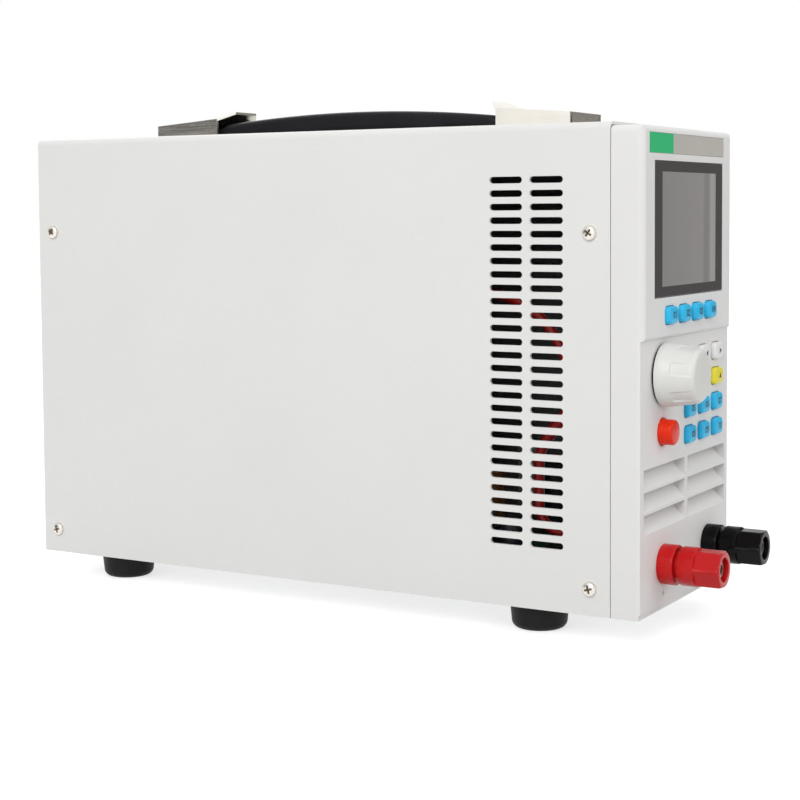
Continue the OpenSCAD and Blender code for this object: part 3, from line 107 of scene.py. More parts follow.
class Grain(Enum):
    """The fine surface of a finish: noise detail, roughness and stretch along x, y, z."""

    POWDER = (2.0, 0.55, EVEN)
    SPARK = (6.0, 0.6, EVEN)
    SMOOTH = (2.0, 0.4, EVEN)
    BRUSHED = (5.0, 0.7, (1.0, 0.03, 1.0))
    ROLLED = (4.0, 0.6, (1.0, 0.2, 1.0))


class Graph:
    """A thin helper that adds and joins the nodes of one material or world."""

    def __init__(self, owner: bpy.types.ID, shader: str = "Principled BSDF") -> None:
        """Starts from the nodes that Blender gives a new material or world.

        Args:
            owner: the material or world.
            shader: the name of its shader's node.
        """
        owner.use_nodes = True
        self.owner = owner
        self.nodes = owner.node_tree.nodes
        self.links = owner.node_tree.links
        self.shader = self.nodes[shader]

    @cached_property
    def coords(self) -> Socket:
        """Gives the place in the part's frame, in metres."""
        return self.add("TexCoord", {}).outputs["Object"]

    def feed(self, target: Socket, value: object) -> None:
        """Links a socket to an input, or sets the input to a number, colour or vector.

        Args:
            target: the input.
            value: what it gets.
        """
        if isinstance(value, Socket):
            self.links.new(value, target)
        else:
            target.default_value = (*value, 1.0) if target.type == "RGBA" else value

    def add(self, kind: str, inputs: dict[object, object], **settings: object) -> bpy.types.Node:
        """Adds a node and feeds its inputs.

        Args:
            kind: Blender's node type, without the words that all begin with.
            inputs: what each named or numbered input gets.
            **settings: properties of the node.

        Returns:
            The new node.
        """
        node = self.nodes.new("ShaderNode" + kind)
        for key, value in settings.items():
            setattr(node, key, value)
        for key, value in inputs.items():
            self.feed(node.inputs[key], value)
        return node

    def noise(self, spot_mm: float, detail: float, rough: float, stretch: Sequence[float] = EVEN) -> Socket:
        """Adds noise with a given size of spot.

        Args:
            spot_mm: size of the noise's spots.
            detail: number of finer layers.
            rough: weight of the finer layers.
            stretch: scale along x, y and z, below 1 for longer spots.

        Returns:
            The noise's value.
        """
        scale = tuple(k / (spot_mm * MM) for k in stretch)
        spots = self.add("Mapping", {"Vector": self.coords, "Scale": scale}).outputs["Vector"]
        inputs = {"Vector": spots, "Scale": 1.0, "Detail": detail, "Roughness": rough}
        return self.add("TexNoise", inputs).outputs["Fac"]

    def ramp(self, source: Socket, stops: Sequence[tuple[float, Colour]]) -> Socket:
        """Turns a value into a colour.

        Args:
            source: the value.
            stops: places from 0 to 1 and their colours.

        Returns:
            The colour.
        """
        ramp = self.add("ValToRGB", {"Fac": source})
        elements = ramp.color_ramp.elements
        while len(elements) < len(stops):
            elements.new(0.5)
        for element, (place, colour) in zip(elements, stops):
            element.position = place
            element.color = (*colour, 1.0)
        return ramp.outputs["Color"]

    def span(self, source: Socket, start: float, end: float, low: float, high: float) -> Socket:
        """Maps the values from start to end to those from low to high."""
        inputs = {"Value": source, "From Min": start, "From Max": end, "To Min": low, "To Max": high}
        return self.add("MapRange", inputs).outputs["Result"]

    def axis(self, letter: str) -> Socket:
        """Gives one coordinate of the part's frame, in metres."""
        return self.add("SeparateXYZ", {"Vector": self.coords}).outputs[letter]

    def math(self, operation: str, first: Socket, second: object) -> Socket:
        """Joins two values by an operation of Blender's Math node."""
        return self.add("Math", {0: first, 1: second}, operation=operation).outputs["Value"]

    def mix(self, share: Socket, first: object, second: object) -> Socket:
        """Mixes two colours, of which a share of 1 gives the second."""
        return self.add("Mix", {0: share, 6: first, 7: second}, data_type="RGBA").outputs[2]

    def inside(self, low: Vector, high: Vector) -> Socket:
        """Masks the places whose x and z lie between two corners.

        Args:
            low: the lower left corner.
            high: the upper right corner.

        Returns:
            1 between the corners and 0 elsewhere.
        """
        share: object = 1.0
        for letter, start, end in (("X", low.x, high.x), ("Z", low.z, high.z)):
            place = self.axis(letter)
            for operation, limit in (("GREATER_THAN", start), ("LESS_THAN", end)):
                share = self.math("MULTIPLY", self.math(operation, place, limit), share)
        return share

    def bump(self, height: Socket, depth_mm: float, strength: float) -> None:
        """Gives the shader a relief."""
        relief = self.add("Bump", {"Height": height, "Distance": depth_mm * MM, "Strength": strength})
        self.feed(self.shader.inputs["Normal"], relief.outputs["Normal"])


def shade(colour: Colour, share: float) -> Colour:
    """Lightens or darkens a linear colour by a factor."""
    return tuple(min(1.0, c * share) for c in colour)


@dataclass(frozen=True)
class Finish:
    """A procedural finish: colour with soft mottling, a fine grain and an uneven gloss."""

    name: str
    colour: Colour
    roughness: float
    grain: Grain = Grain.SPARK
    grain_mm: float = 0.4
    relief_mm: float = 0.02
    relief: float = 0.3
    mottle: float = 0.04
    mottle_mm: float = 25.0
    metallic: float = 0.0
    specular: float = 0.5
    coat: float = 0.0
    coat_roughness: float = 0.08
    speck: float = 0.0
    speck_shade: float = 0.55
    gloss_spread: float = 0.05

    def colours(self, graph: Graph) -> Socket:
        """Builds the colour, with dark specks where the finish has them.

        Args:
            graph: the material's nodes.

        Returns:
            The colour's socket.
        """
        broad = graph.noise(self.mottle_mm, 3.0, 0.5)
        tones = (shade(self.colour, 1.0 - self.mottle), shade(self.colour, 1.0 + self.mottle))
        tone = graph.ramp(broad, tuple(zip(NOISE_SPAN, tones)))
        if not self.speck:
            return tone
        fine = graph.noise(self.grain_mm * 1.7, 3.0, 0.6, self.grain.value[2])
        share = graph.span(fine, *NOISE_SPAN, 0.0, self.speck)
        return graph.mix(share, tone, shade(self.colour, self.speck_shade))

    def material(self) -> bpy.types.Material:
        """Builds the material once and gives it back on later calls.

        Returns:
            The material.
        """
        known = bpy.data.materials.get(self.name)
        if known is not None:
            return known
        graph = Graph(bpy.data.materials.new(self.name))
        detail, rough, stretch = self.grain.value
        fine = graph.noise(self.grain_mm, detail, rough, stretch)
        low, high = self.roughness - self.gloss_spread, self.roughness + self.gloss_spread
        looks = {
            "Base Color": self.colours(graph), "Roughness": graph.span(fine, *NOISE_SPAN, low, high),
            "Metallic": self.metallic, "Specular IOR Level": self.specular,
            "Coat Weight": self.coat, "Coat Roughness": self.coat_roughness,
        }
        for key, value in looks.items():
            graph.feed(graph.shader.inputs[key], value)
        graph.bump(fine, self.relief_mm, self.relief)
        return graph.owner


@dataclass(frozen=True)
class NameFilm(Finish):
    """The printed name strip: a bare coloured block at its left end, pale film beside it."""

    block: Colour = (0.03, 0.51, 0.19)
    block_end: float = -17.2

    def colours(self, graph: Graph) -> Socket:
        """Paints the block over the film."""
        share = graph.math("LESS_THAN", graph.axis("X"), self.block_end * MM)
        return graph.mix(share, super().colours(graph), self.block)


@dataclass(frozen=True)
class CoverCoat(Finish):
    """The cover's powder coat, with dark primer on the inside of the sheet that also paints the shade inside
    the case.
    """

    # Dark primer, darkened further as painted shade of the inside seen through the vents.
    primer_and_painted_shade: Colour = (0.15, 0.15, 0.155)
    inner_half: float = 44.85
    inner_low: float = -50.0
    inner_top: float = 178.85

    def colours(self, graph: Graph) -> Socket:
        """Paints the dark primer inside the outer skin, which also serves as painted shade of the case's
        inside.
        """
        low, high = at(-self.inner_half, 0, self.inner_low), at(self.inner_half, 0, self.inner_top)
        return graph.mix(graph.inside(low, high), super().colours(graph), self.primer_and_painted_shade)


@dataclass(frozen=True)
class LensPrint(Finish):
    """The display lens: a dark printed border round the unlit panel, with a painted reflection across the
    panel.
    """

    panel: Colour = (0.305, 0.292, 0.286)
    left: float = -27.9
    right: float = 27.6
    low: float = 120.1
    high: float = 162.1
    # Painted reflection: how much lighter or darker the panel is at each place across the window, and how
    # much its bands waver.
    painted_reflection_bands: tuple[Flat, ...] = (
        (0.0, 0.93), (0.74, 1.06), (0.79, 0.86), (0.88, 0.88), (0.92, 1.36), (0.98, 1.24))
    painted_reflection_ripple: float = 0.02
    painted_reflection_ripple_mm: float = 12.0

    def colours(self, graph: Graph) -> Socket:
        """Paints the window inside the border, with a painted reflection: wavering bands of lighter and
        darker panel across it.

        Args:
            graph: the material's nodes.

        Returns:
            The colour's socket.
        """
        across = graph.span(graph.axis("X"), self.left * MM, self.right * MM, 0.0, 1.0)
        waves = graph.noise(self.painted_reflection_ripple_mm, 2.0, 0.5, (1.0, 1.0, 0.08))
        place = graph.math("ADD", across, graph.span(waves, *NOISE_SPAN, -self.painted_reflection_ripple, self.painted_reflection_ripple))
        # The ramp paints the reflection's bands onto the panel's colour.
        panel = graph.ramp(place, tuple((spot, shade(self.panel, share)) for spot, share in self.painted_reflection_bands))
        window = graph.inside(at(self.left, 0, self.low), at(self.right, 0, self.high))
        return graph.mix(window, super().colours(graph), panel)


# The values in order: name, colour, roughness, grain and its size, the relief's depth and strength,
# mottling and its size, and how metallic the finish is.
COAT_WHITE = (0.77, 0.768, 0.752)
CASE_COAT = Finish(
    "case_powder_coat", COAT_WHITE, 0.55, Grain.POWDER, 0.8, 0.12, 0.55, 0.012, 60.0, specular=0.35)
COVER_COAT = CoverCoat(
    "cover_powder_coat", COAT_WHITE, 0.55, Grain.POWDER, 0.8, 0.12, 0.55, 0.012, 60.0, specular=0.35)
BEZEL_MOULD = Finish(
    "bezel_moulding", (0.775, 0.77, 0.76), 0.55, Grain.SPARK, 0.35, 0.03, 0.3, 0.012, 50.0, specular=0.35)
ZINC = Finish("rolled_zinc", (0.56, 0.57, 0.58), 0.4, Grain.ROLLED, 1.2, 0.02, 0.25, 0.1, 12.0, 0.9)
NICKEL = Finish("nickel_plate", (0.66, 0.63, 0.585), 0.28, Grain.BRUSHED, 0.5, 0.02, 0.25, 0.06, 10.0, 1.0)
CAP_PLATE = Finish("cap_plate", (0.92, 0.885, 0.81), 0.24, Grain.BRUSHED, 0.6, 0.015, 0.2, 0.04, 12.0, 1.0)
SCREW_PLATE = Finish("screw_plate", (0.73, 0.695, 0.64), 0.3, Grain.SMOOTH, 0.4, 0.02, 0.3, 0.08, 1.5, 1.0)
# Painted shade: dark brown metal that stands for the shade inside the cross recesses.
PAINTED_RECESS_SHADE = Finish("screw_recess_painted_shade", (0.34, 0.29, 0.21), 0.5, Grain.SMOOTH, 0.4, 0.02, 0.3, 0.1, 1.5, 0.6)
STRAP_RUBBER = Finish(
    "strap_moulding", (0.0105, 0.0104, 0.0135), 0.42, Grain.SPARK, 0.9, 0.02, 0.2, 0.15, 14.0, specular=0.16)
FOOT_RUBBER = Finish(
    "foot_moulding", (0.007875, 0.00765, 0.00765), 0.5, Grain.SPARK, 0.8, 0.03, 0.25, 0.2, 6.0, specular=0.2)
LENS = LensPrint(
    "display_lens_print", (0.062, 0.057, 0.058), 0.14, Grain.SMOOTH, 3.0, 0.003, 0.06, 0.03, 30.0,
    specular=0.4)
LCD = Finish("display_panel", (0.24, 0.235, 0.23), 0.4, Grain.SMOOTH, 2.0, 0.01, 0.1, 0.05, 15.0)
NAME_FILM = NameFilm(
    "name_film", (0.525, 0.5, 0.46), 0.45, Grain.SPARK, 0.3, 0.01, 0.2, 0.03, 12.0, specular=0.25)
KEY_BLUE = Finish(
    "blue_silicone", (0.024, 0.49, 0.82), 0.42, Grain.SPARK, 0.5, 0.01, 0.15, 0.04, 5.0, specular=0.3)
KEY_WHITE = replace(KEY_BLUE, name="white_silicone", colour=(0.82, 0.815, 0.8), mottle=0.02, specular=0.35)
KEY_YELLOW = replace(KEY_BLUE, name="yellow_silicone", colour=(0.82, 0.72, 0.045))
KNOB_WHITE = Finish(
    "knob_moulding", (0.715, 0.713, 0.69), 0.4, Grain.SMOOTH, 1.6, 0.01, 0.1, 0.012, 8.0, specular=0.3)
POST_RED = Finish(
    "red_post_moulding", (0.52, 0.0085, 0.0095), 0.22, Grain.SMOOTH, 4.0, 0.006, 0.05, 0.03, 5.0,
    specular=0.2)
POST_BLACK = replace(
    POST_RED, name="black_post_moulding", colour=(0.0036, 0.0035, 0.0038), mottle=0.1, specular=0.11)
BUTTON_RED = replace(
    POST_RED, name="red_button_plastic", colour=(0.74, 0.027, 0.005), roughness=0.26, mottle_mm=4.0,
    specular=0.16)
BLACK_MOULD = Finish("black_moulding", (0.016, 0.016, 0.017), 0.5, Grain.SPARK, 0.5, 0.03, 0.35, 0.15, 8.0)
# Painted shade: the near-black ring that stands for the shadow in the gap behind the knob.
PAINTED_SHADE_RING = Finish(
    "knob_gap_painted_shade", (0.006, 0.006, 0.0065), 0.9, Grain.SPARK, 0.25, 0.08, 0.7, 0.25, 1.5, specular=0.1)
ROCKER_RED = Finish(
    "rocker_moulding", (0.52, 0.018, 0.014), 0.3, Grain.SMOOTH, 0.8, 0.01, 0.2, 0.06, 5.0, coat=0.2)
PORT_METAL = Finish("port_shell", (0.5, 0.5, 0.51), 0.34, Grain.ROLLED, 0.5, 0.02, 0.25, 0.08, 5.0, 1.0)
BOARD = Finish("board_mask", (0.012, 0.13, 0.05), 0.38, Grain.SMOOTH, 0.6, 0.02, 0.3, 0.12, 3.0, speck=0.35)
ALUMINIUM = Finish("sink_extrusion", (0.6, 0.61, 0.62), 0.36, Grain.BRUSHED, 0.6, 0.02, 0.3, 0.05, 14.0, 1.0)
CORE_STEEL = Finish("core_laminations", (0.09, 0.09, 0.1), 0.5, Grain.ROLLED, 0.5, 0.05, 0.5, 0.2, 6.0, 0.6)
WINDING = Finish("taped_winding", (0.3, 0.12, 0.03), 0.5, Grain.ROLLED, 0.7, 0.08, 0.5, 0.25, 3.0)
WIRE_RED = Finish("red_insulation", (0.5, 0.012, 0.01), 0.4, Grain.SMOOTH, 0.8, 0.02, 0.25, 0.08, 6.0)
WIRE_BLACK = replace(
    WIRE_RED, name="black_insulation", colour=(0.012, 0.012, 0.013), roughness=0.42, mottle=0.15)
NYLON = Finish("natural_nylon", (0.72, 0.7, 0.64), 0.45, Grain.SMOOTH, 0.7, 0.01, 0.2, 0.04, 4.0)
INK_DARK = Finish("dark_print", (0.02, 0.02, 0.024), 0.5, Grain.SPARK, 0.2, 0.005, 0.2, 0.2, 1.0)
INK_PALE = replace(INK_DARK, name="pale_print", colour=(0.8, 0.8, 0.79), mottle=0.03)
INK_GREY = replace(INK_DARK, name="grey_print", colour=(0.3, 0.3, 0.31), mottle=0.05)
GOLD = Finish("gold_contacts", (0.75, 0.55, 0.2), 0.28, Grain.SMOOTH, 0.4, 0.005, 0.2, 0.05, 1.0, 1.0)
CAN_SLEEVE = Finish("capacitor_sleeve", (0.02, 0.022, 0.03), 0.35, Grain.SMOOTH, 0.8, 0.01, 0.2, 0.1, 4.0)


def stand(name: str, data: bpy.types.ID) -> Piece:
    """Makes an object of a mesh, curve, lamp or camera and puts it in the scene.

    Args:
        name: the object's name.
        data: what it shows.

    Returns:
        The new object.
    """
    made = bpy.data.objects.new(name, data)
    bpy.context.scene.collection.objects.link(made)
    return made


def weld(mesh: bpy.types.Mesh) -> None:
    """Joins the points of a mesh that coincide and turns its faces outwards.

    Args:
        mesh: a mesh in the part's frame.
    """
    work = bmesh.new()
    work.from_mesh(mesh)
    bmesh.ops.remove_doubles(work, verts=work.verts, dist=WELD)
    bmesh.ops.recalc_face_normals(work, faces=work.faces)
    work.to_mesh(mesh)
    work.free()


def circle(radius: float, z: float, sides: int) -> Ring:
    """Gives a round ring at a height."""
    turn = 2 * math.pi / sides
    return [Vector((radius * math.cos(i * turn), radius * math.sin(i * turn), z)) for i in range(sides)]


def slab(w: float, h: float) -> list[Flat]:
    """Gives the corners of a rectangle about the origin."""
    return [(-w / 2, -h / 2), (w / 2, -h / 2), (w / 2, h / 2), (-w / 2, h / 2)]


def pad(w: float, h: float, r: float, z: float, steps: int = 6) -> Ring:
    """Gives a rectangle with round corners.

    Args:
        w: width.
        h: height.
        r: radius of the corners.
        z: height above the piece's own plane.
        steps: points on each corner, less one.

    Returns:
        The ring.
    """
    r = min(r, w / 2 - 0.001, h / 2 - 0.001)
    ring = []
    for sx, sy, start in ((1, 1, 0), (-1, 1, 90), (-1, -1, 180), (1, -1, 270)):
        x, y = sx * (w / 2 - r), sy * (h / 2 - r)
        for i in range(steps + 1):
            angle = math.radians(start + 90 * i / steps)
            ring.append(Vector((x + r * math.cos(angle), y + r * math.sin(angle), z)))
    return ring


def rounded(radius: float, top: float, edge: float, steps: int) -> list[Flat]:
    """Gives a turned piece's round edge, from the flank to the end face."""
    angles = [math.radians(90 * i / steps) for i in range(steps + 1)]
    return [(radius - edge + edge * math.cos(a), top - edge + edge * math.sin(a)) for a in angles]


class Mesher:
    """Collects points and faces, then makes one piece of them in the part's frame."""

    def __init__(self) -> None:
        """Starts with nothing."""
        self.points: list[Vector] = []
        self.faces: list[tuple[int, ...]] = []
        self.tones: list[int] = []

    def loft(self, rings: Sequence[Ring], place: Matrix, closed: bool = True) -> "Mesher":
        """Joins rings of equal length into a skin.

        Args:
            rings: closed rings of points, in the piece's own millimetres.
            place: matrix to the part's frame.
            closed: whether a face closes the first and the last ring.

        Returns:
            This mesher, so that calls can be chained.
        """
        first, count = len(self.points), len(rings[0])
        last = first + (len(rings) - 1) * count
        for ring in rings:
            self.points += [place @ p for p in ring]
        for low in range(first, last, count):
            for i in range(count):
                j = (i + 1) % count
                self.faces.append((low + i, low + j, low + count + j, low + count + i))
        if closed:
            self.faces.append(tuple(first + i for i in reversed(range(count))))
            self.faces.append(tuple(last + i for i in range(count)))
        self.tones += [0] * (len(self.faces) - len(self.tones))
        return self

    def lathe(self, profile: Sequence[Flat], place: Matrix, sides: int) -> "Mesher":
        """Turns an outline of radii and heights, from one end to the other, about z."""
        return self.loft([circle(max(r, 0.001), z, sides) for r, z in profile], place)

    def hoop(self, section: Sequence[Flat], place: Matrix, sides: int) -> "Mesher":
        """Turns the closed section of a ring about z."""
        return self.loft([circle(r, z, sides) for r, z in (*section, section[0])], place, False)

    def prism(self, outline: Sequence[Flat], low: float, high: float, place: Matrix) -> "Mesher":
        """Raises a flat outline, in order against the clock, between two heights."""
        return self.loft([[Vector((x, y, z)) for x, y in outline] for z in (low, high)], place)

    def copy(self, mesh: bpy.types.Mesh, place: Matrix) -> "Mesher":
        """Adds a copy of a mesh with its finishes.

        Args:
            mesh: the mesh, in millimetres.
            place: matrix to the part's frame.

        Returns:
            This mesher.
        """
        first = len(self.points)
        self.points += [place @ v.co for v in mesh.vertices]
        self.faces += [tuple(first + i for i in p.vertices) for p in mesh.polygons]
        self.tones += [p.material_index for p in mesh.polygons]
        return self

    def make(self, name: str, *finishes: Finish, crease: float = CREASE) -> Piece:
        """Makes the piece.

        Args:
            name: the piece's name.
            *finishes: its finishes.
            crease: edges sharper than this angle in degrees stay sharp.

        Returns:
            The new piece.
        """
        mesh = bpy.data.meshes.new(name)
        mesh.from_pydata([tuple(p) for p in self.points], [], self.faces)
        for finish in finishes:
            mesh.materials.append(finish.material())
        mesh.polygons.foreach_set("material_index", self.tones)
        weld(mesh)
        mesh.shade_smooth()
        mesh.set_sharp_from_angle(angle=math.radians(crease))
        return stand(name, mesh)


def carry(piece: Piece, body: str, slot: str, *stands_for: str) -> None:
    """Puts a piece on its body and hides the nodes that it stands for.

    Args:
        piece: the new piece.
        body: the body that it moves with.
        slot: the record's material slot; not used.
        *stands_for: nodes that it replaces.
    """
    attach(piece, body)
    if stands_for:
        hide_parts(*stands_for)
    LOG.info("piece %s on %s", piece.name, body)


def coat(finish: Finish, *names: str) -> None:
    """Gives carried-over nodes a finish.

    Args:
        finish: the finish.
        *names: names of the nodes.
    """
    for name in names:
        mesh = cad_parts[name].data
        mesh.materials.clear()
        mesh.materials.append(finish.material())
        LOG.info("node %s in %s", name, finish.name)


def raised_sign(sign: str, size: float, place: Matrix) -> Mesher:
    """Makes a raised sign.

    Args:
        sign: one plain number.
        size: its height in millimetres.
        place: matrix to the part's frame, z out of the surface.

    Returns:
        A mesher that holds the sign's faces.
    """
    curve = bpy.data.curves.new("sign", "FONT")
    curve.body = sign
    curve.size = size
    curve.align_x = "CENTER"
    curve.align_y = "CENTER"
    curve.extrude = PRINT_PROUD
    curve.offset = 0.05
    curve.resolution_u = 6
    holder = stand("sign", curve)
    bpy.context.view_layer.update()
    mesher = Mesher().copy(holder.to_mesh(), place)
    holder.to_mesh_clear()
    bpy.data.objects.remove(holder)
    bpy.data.curves.remove(curve)
    return mesher


class SubAssembly(ABC):
    """A group of pieces that is built and dressed together."""

    def assemble(self) -> None:
        """Builds the group's own pieces, then dresses the carried-over nodes."""
        LOG.info("sub-assembly %s", type(self).__name__)
        self.build()
        self.dress()

    @abstractmethod
    def build(self) -> None:
        """Makes the pieces that have more detail than the nodes."""

    def dress(self) -> None:
        """Gives the carried-over nodes their finishes, where the group has any."""


@dataclass
class Housing(SubAssembly):
    """The sheet-metal case, the moulded bezel and the feet."""

    mark_z: float = 6.0
    mark_l: float = 2.2
    mark_w: float = 0.4
    mark_step: float = 0.005

    def build(self) -> None:
        """Prints the plus and minus marks under the posts."""
        for name, x, upright in (("plus_mark", -POST_X, True), ("minus_mark", POST_X, False)):
            place = on_front(x, self.mark_z)
            mesher = Mesher().prism(slab(self.mark_l, self.mark_w), PRINT_SINK, PRINT_PROUD, place)
            if upright:
                proud = PRINT_PROUD + self.mark_step
                mesher.prism(slab(self.mark_w, self.mark_l), PRINT_SINK, proud, place)
            carry(mesher.make(name, INK_GREY), "case", "bezel_plastic")

    def dress(self) -> None:
        """Coats the sheet parts, the bezel and the feet."""
        coat(COVER_COAT, "top_cover")
        coat(CASE_COAT, "rear_panel")
        coat(ZINC, "chassis_base", "front_frame")
        coat(BEZEL_MOULD, "front_bezel")
        coat(FOOT_RUBBER, "rubber_feet")


@dataclass(frozen=True)
class Screw:
    """A pan-head screw with a cross recess, the underside of its head at z = 0."""

    thread_d: float = 3.0
    length: float = 6.0
    head_d: float = 5.4
    head_h: float = 1.9
    pitch: float = 0.5
    groove: float = 0.16
    lead_in: float = 0.3
    straight: float = 0.4
    dome: float = 0.7
    dome_steps: int = 8
    recess_head_d: float = 5.4
    recess: float = 1.5
    slot_w: float = 0.8
    slot_l: float = 3.3

    def outline(self) -> list[Flat]:
        """Gives the outline that is turned.

        Returns:
            Radii and heights, from the tip to the top of the head.
        """
        thread, head, start = self.thread_d / 2, self.head_d / 2, -self.length + self.lead_in
        profile = [(0.0, -self.length), (thread - 0.2, -self.length), (thread, start)]
        for i in range(int(self.length / self.pitch) - 1):
            z = start + i * self.pitch
            cuts = ((0.0, 0.2), (self.groove, 0.5), (0.0, 0.8))
            profile += [(thread - cut, z + self.pitch * share) for cut, share in cuts]
        profile += [(thread, 0.0), (head, 0.0), (head, self.head_h * self.straight)]
        for i in range(1, self.dome_steps + 1):
            angle = math.radians(90 * i / self.dome_steps)
            z = self.head_h * (self.straight + (1 - self.straight) * math.sin(angle))
            profile.append((head * math.cos(angle) ** self.dome, z))
        return profile

    def mesh(self) -> bpy.types.Mesh:
        """Makes one screw with its recess cut; the cut faces take the painted shade of the recess.

        Returns:
            The screw's mesh, in millimetres.
        """
        body = Mesher().lathe(self.outline(), Matrix.Identity(4), 40).make("screw_body", SCREW_PLATE)
        scale = self.head_d / self.recess_head_d
        wide, slim = self.slot_l * scale, self.slot_w * scale
        cuts = ((0.5, self.head_h - self.recess * scale), (1.0, self.head_h), (1.0, self.head_h + 1.0))
        cutter = Mesher()
        for turn in (0.0, math.pi / 2):
            rings = [pad(wide * k, slim * k, 0.1, z, 2) for k, z in cuts]
            cutter.loft(rings, Matrix.Rotation(turn, 4, "Z"))
        # The cutter's finish goes onto the cut faces and paints the recess's shade.
        knife = cutter.make("screw_recess_painted_shade", PAINTED_RECESS_SHADE)
        cut = body.modifiers.new("recess", "BOOLEAN")
        cut.operation = "DIFFERENCE"
        cut.object = knife
        cut.use_self = True
        cut.material_mode = "TRANSFER"
        bpy.context.view_layer.update()
        mesh = bpy.data.meshes.new_from_object(body.evaluated_get(bpy.context.evaluated_depsgraph_get()))
        for thing in (body, knife):
            bpy.data.objects.remove(thing)
        return mesh


@dataclass
class CrossScrews(SubAssembly):
    """The screws of the case and of the fan."""

    case_screw: Screw = Screw()
    fan_screw: Screw = Screw(4.0, 10.0, 7.6, 2.4)
    half_w: float = 46.0
    side_ys: Flat = (8.0, 262.0)
    side_zs: Flat = (10.0, 140.0)
    turn_per_mm: float = 0.7
    boss_x: float = 40.4
    boss_y: float = 1.5
    boss_zs: Flat = (62.0, 141.1)
    foot_x: float = 28.0
    foot_ys: Flat = (37.0, 238.0)
    foot_z: float = -3.0
    sink_x: float = 12.0
    sink_ys: Flat = (138.0, 219.8)
    fan_half: float = 35.75
    fan_y: float = 269.8
    fan_z: float = 112.0

    def case_places(self) -> list[Matrix]:
        """Lists the screws in the sides, the bezel, the feet and the heatsink.

        Returns:
            A matrix to the part's frame for each screw.
        """
        places: list[Matrix] = []
        for y in self.side_ys:
            for z in self.side_zs:
                spin = Matrix.Rotation(math.radians(self.turn_per_mm * y + z), 4, "Z")
                places.append(Facing.LEFT.place(-self.half_w, y, z) @ spin)
                places.append(Facing.RIGHT.place(self.half_w, y, z) @ spin)
        for side in (-1, 1):
            places += [Facing.REAR.place(side * self.boss_x, self.boss_y, z) for z in self.boss_zs]
            places += [Facing.DOWN.place(side * self.foot_x, y, self.foot_z) for y in self.foot_ys]
        return places + [Facing.DOWN.place(self.sink_x, y, 0.0) for y in self.sink_ys]

    def fan_places(self) -> list[Matrix]:
        """Lists the places of the fan's screws."""
        spots = [(sx * self.fan_half, self.fan_z + sz * self.fan_half) for sx in (-1, 1) for sz in (-1, 1)]
        return [Facing.REAR.place(x, self.fan_y, z) for x, z in spots]

    def build(self) -> None:
        """Makes the case screws and the fan's screws."""
        for name, screw, places in (("case_screw", self.case_screw, self.case_places()),
                                    ("fan_screw", self.fan_screw, self.fan_places())):
            mesh, mesher = screw.mesh(), Mesher()
            for place in places:
                mesher.copy(mesh, place)
            # The second finish is the painted shade in the recesses.
            carry(mesher.make(name + "_set", SCREW_PLATE, PAINTED_RECESS_SHADE), "case", "nickel", name + "s")

    def dress(self) -> None:
        """Gives the hidden handle screws their plate."""
        coat(SCREW_PLATE, "handle_screws")


@dataclass
class Display(SubAssembly):
    """The lens over the display panel and the name strip above it."""

    lens_w: float = 70.5
    lens_h: float = 49.8
    lens_t: float = 1.6
    lens_r: float = 0.8
    lens_edge: float = 0.25
    lens_z: float = 141.1
    strip_w: float = 76.6
    strip_h: float = 7.2
    strip_t: float = 0.4
    strip_r: float = 0.5
    strip_edge: float = 0.12
    strip_x: float = -2.0
    strip_z: float = 172.4
    crease: float = 15.0

    def plate(self, w: float, h: float, t: float, r: float, edge: float) -> list[Ring]:
        """Gives the rings of a plate with round corners and a broken edge, from back to front."""
        steps = ((0.0, -t), (0.0, -edge), (edge, -edge * 0.3), (2 * edge, 0.0))
        return [pad(w - inset, h - inset, r, z) for inset, z in steps]

    def build(self) -> None:
        """Makes the lens and the strip."""
        rings = self.plate(self.lens_w, self.lens_h, self.lens_t, self.lens_r, self.lens_edge)
        mesher = Mesher().loft(rings, on_front(0.0, self.lens_z, UPPER_FACE))
        lens = mesher.make("display_window", LENS, crease=self.crease)
        carry(lens, "case", "lens", "display_lens")
        rings = self.plate(self.strip_w, self.strip_h, self.strip_t, self.strip_r, self.strip_edge)
        mesher = Mesher().loft(rings, on_front(self.strip_x, self.strip_z, UPPER_FACE))
        strip = mesher.make("name_film_strip", NAME_FILM, crease=self.crease)
        carry(strip, "case", "name_label", "name_strip")

    def dress(self) -> None:
        """Dresses the panel behind the lens."""
        coat(LCD, "lcd_module")


class Mark(Enum):
    """What is printed on a key: a number, or an arrow turned by so many degrees."""

    NUMBER = None
    RIGHT = 0.0
    UP = 90.0
    LEFT = 180.0


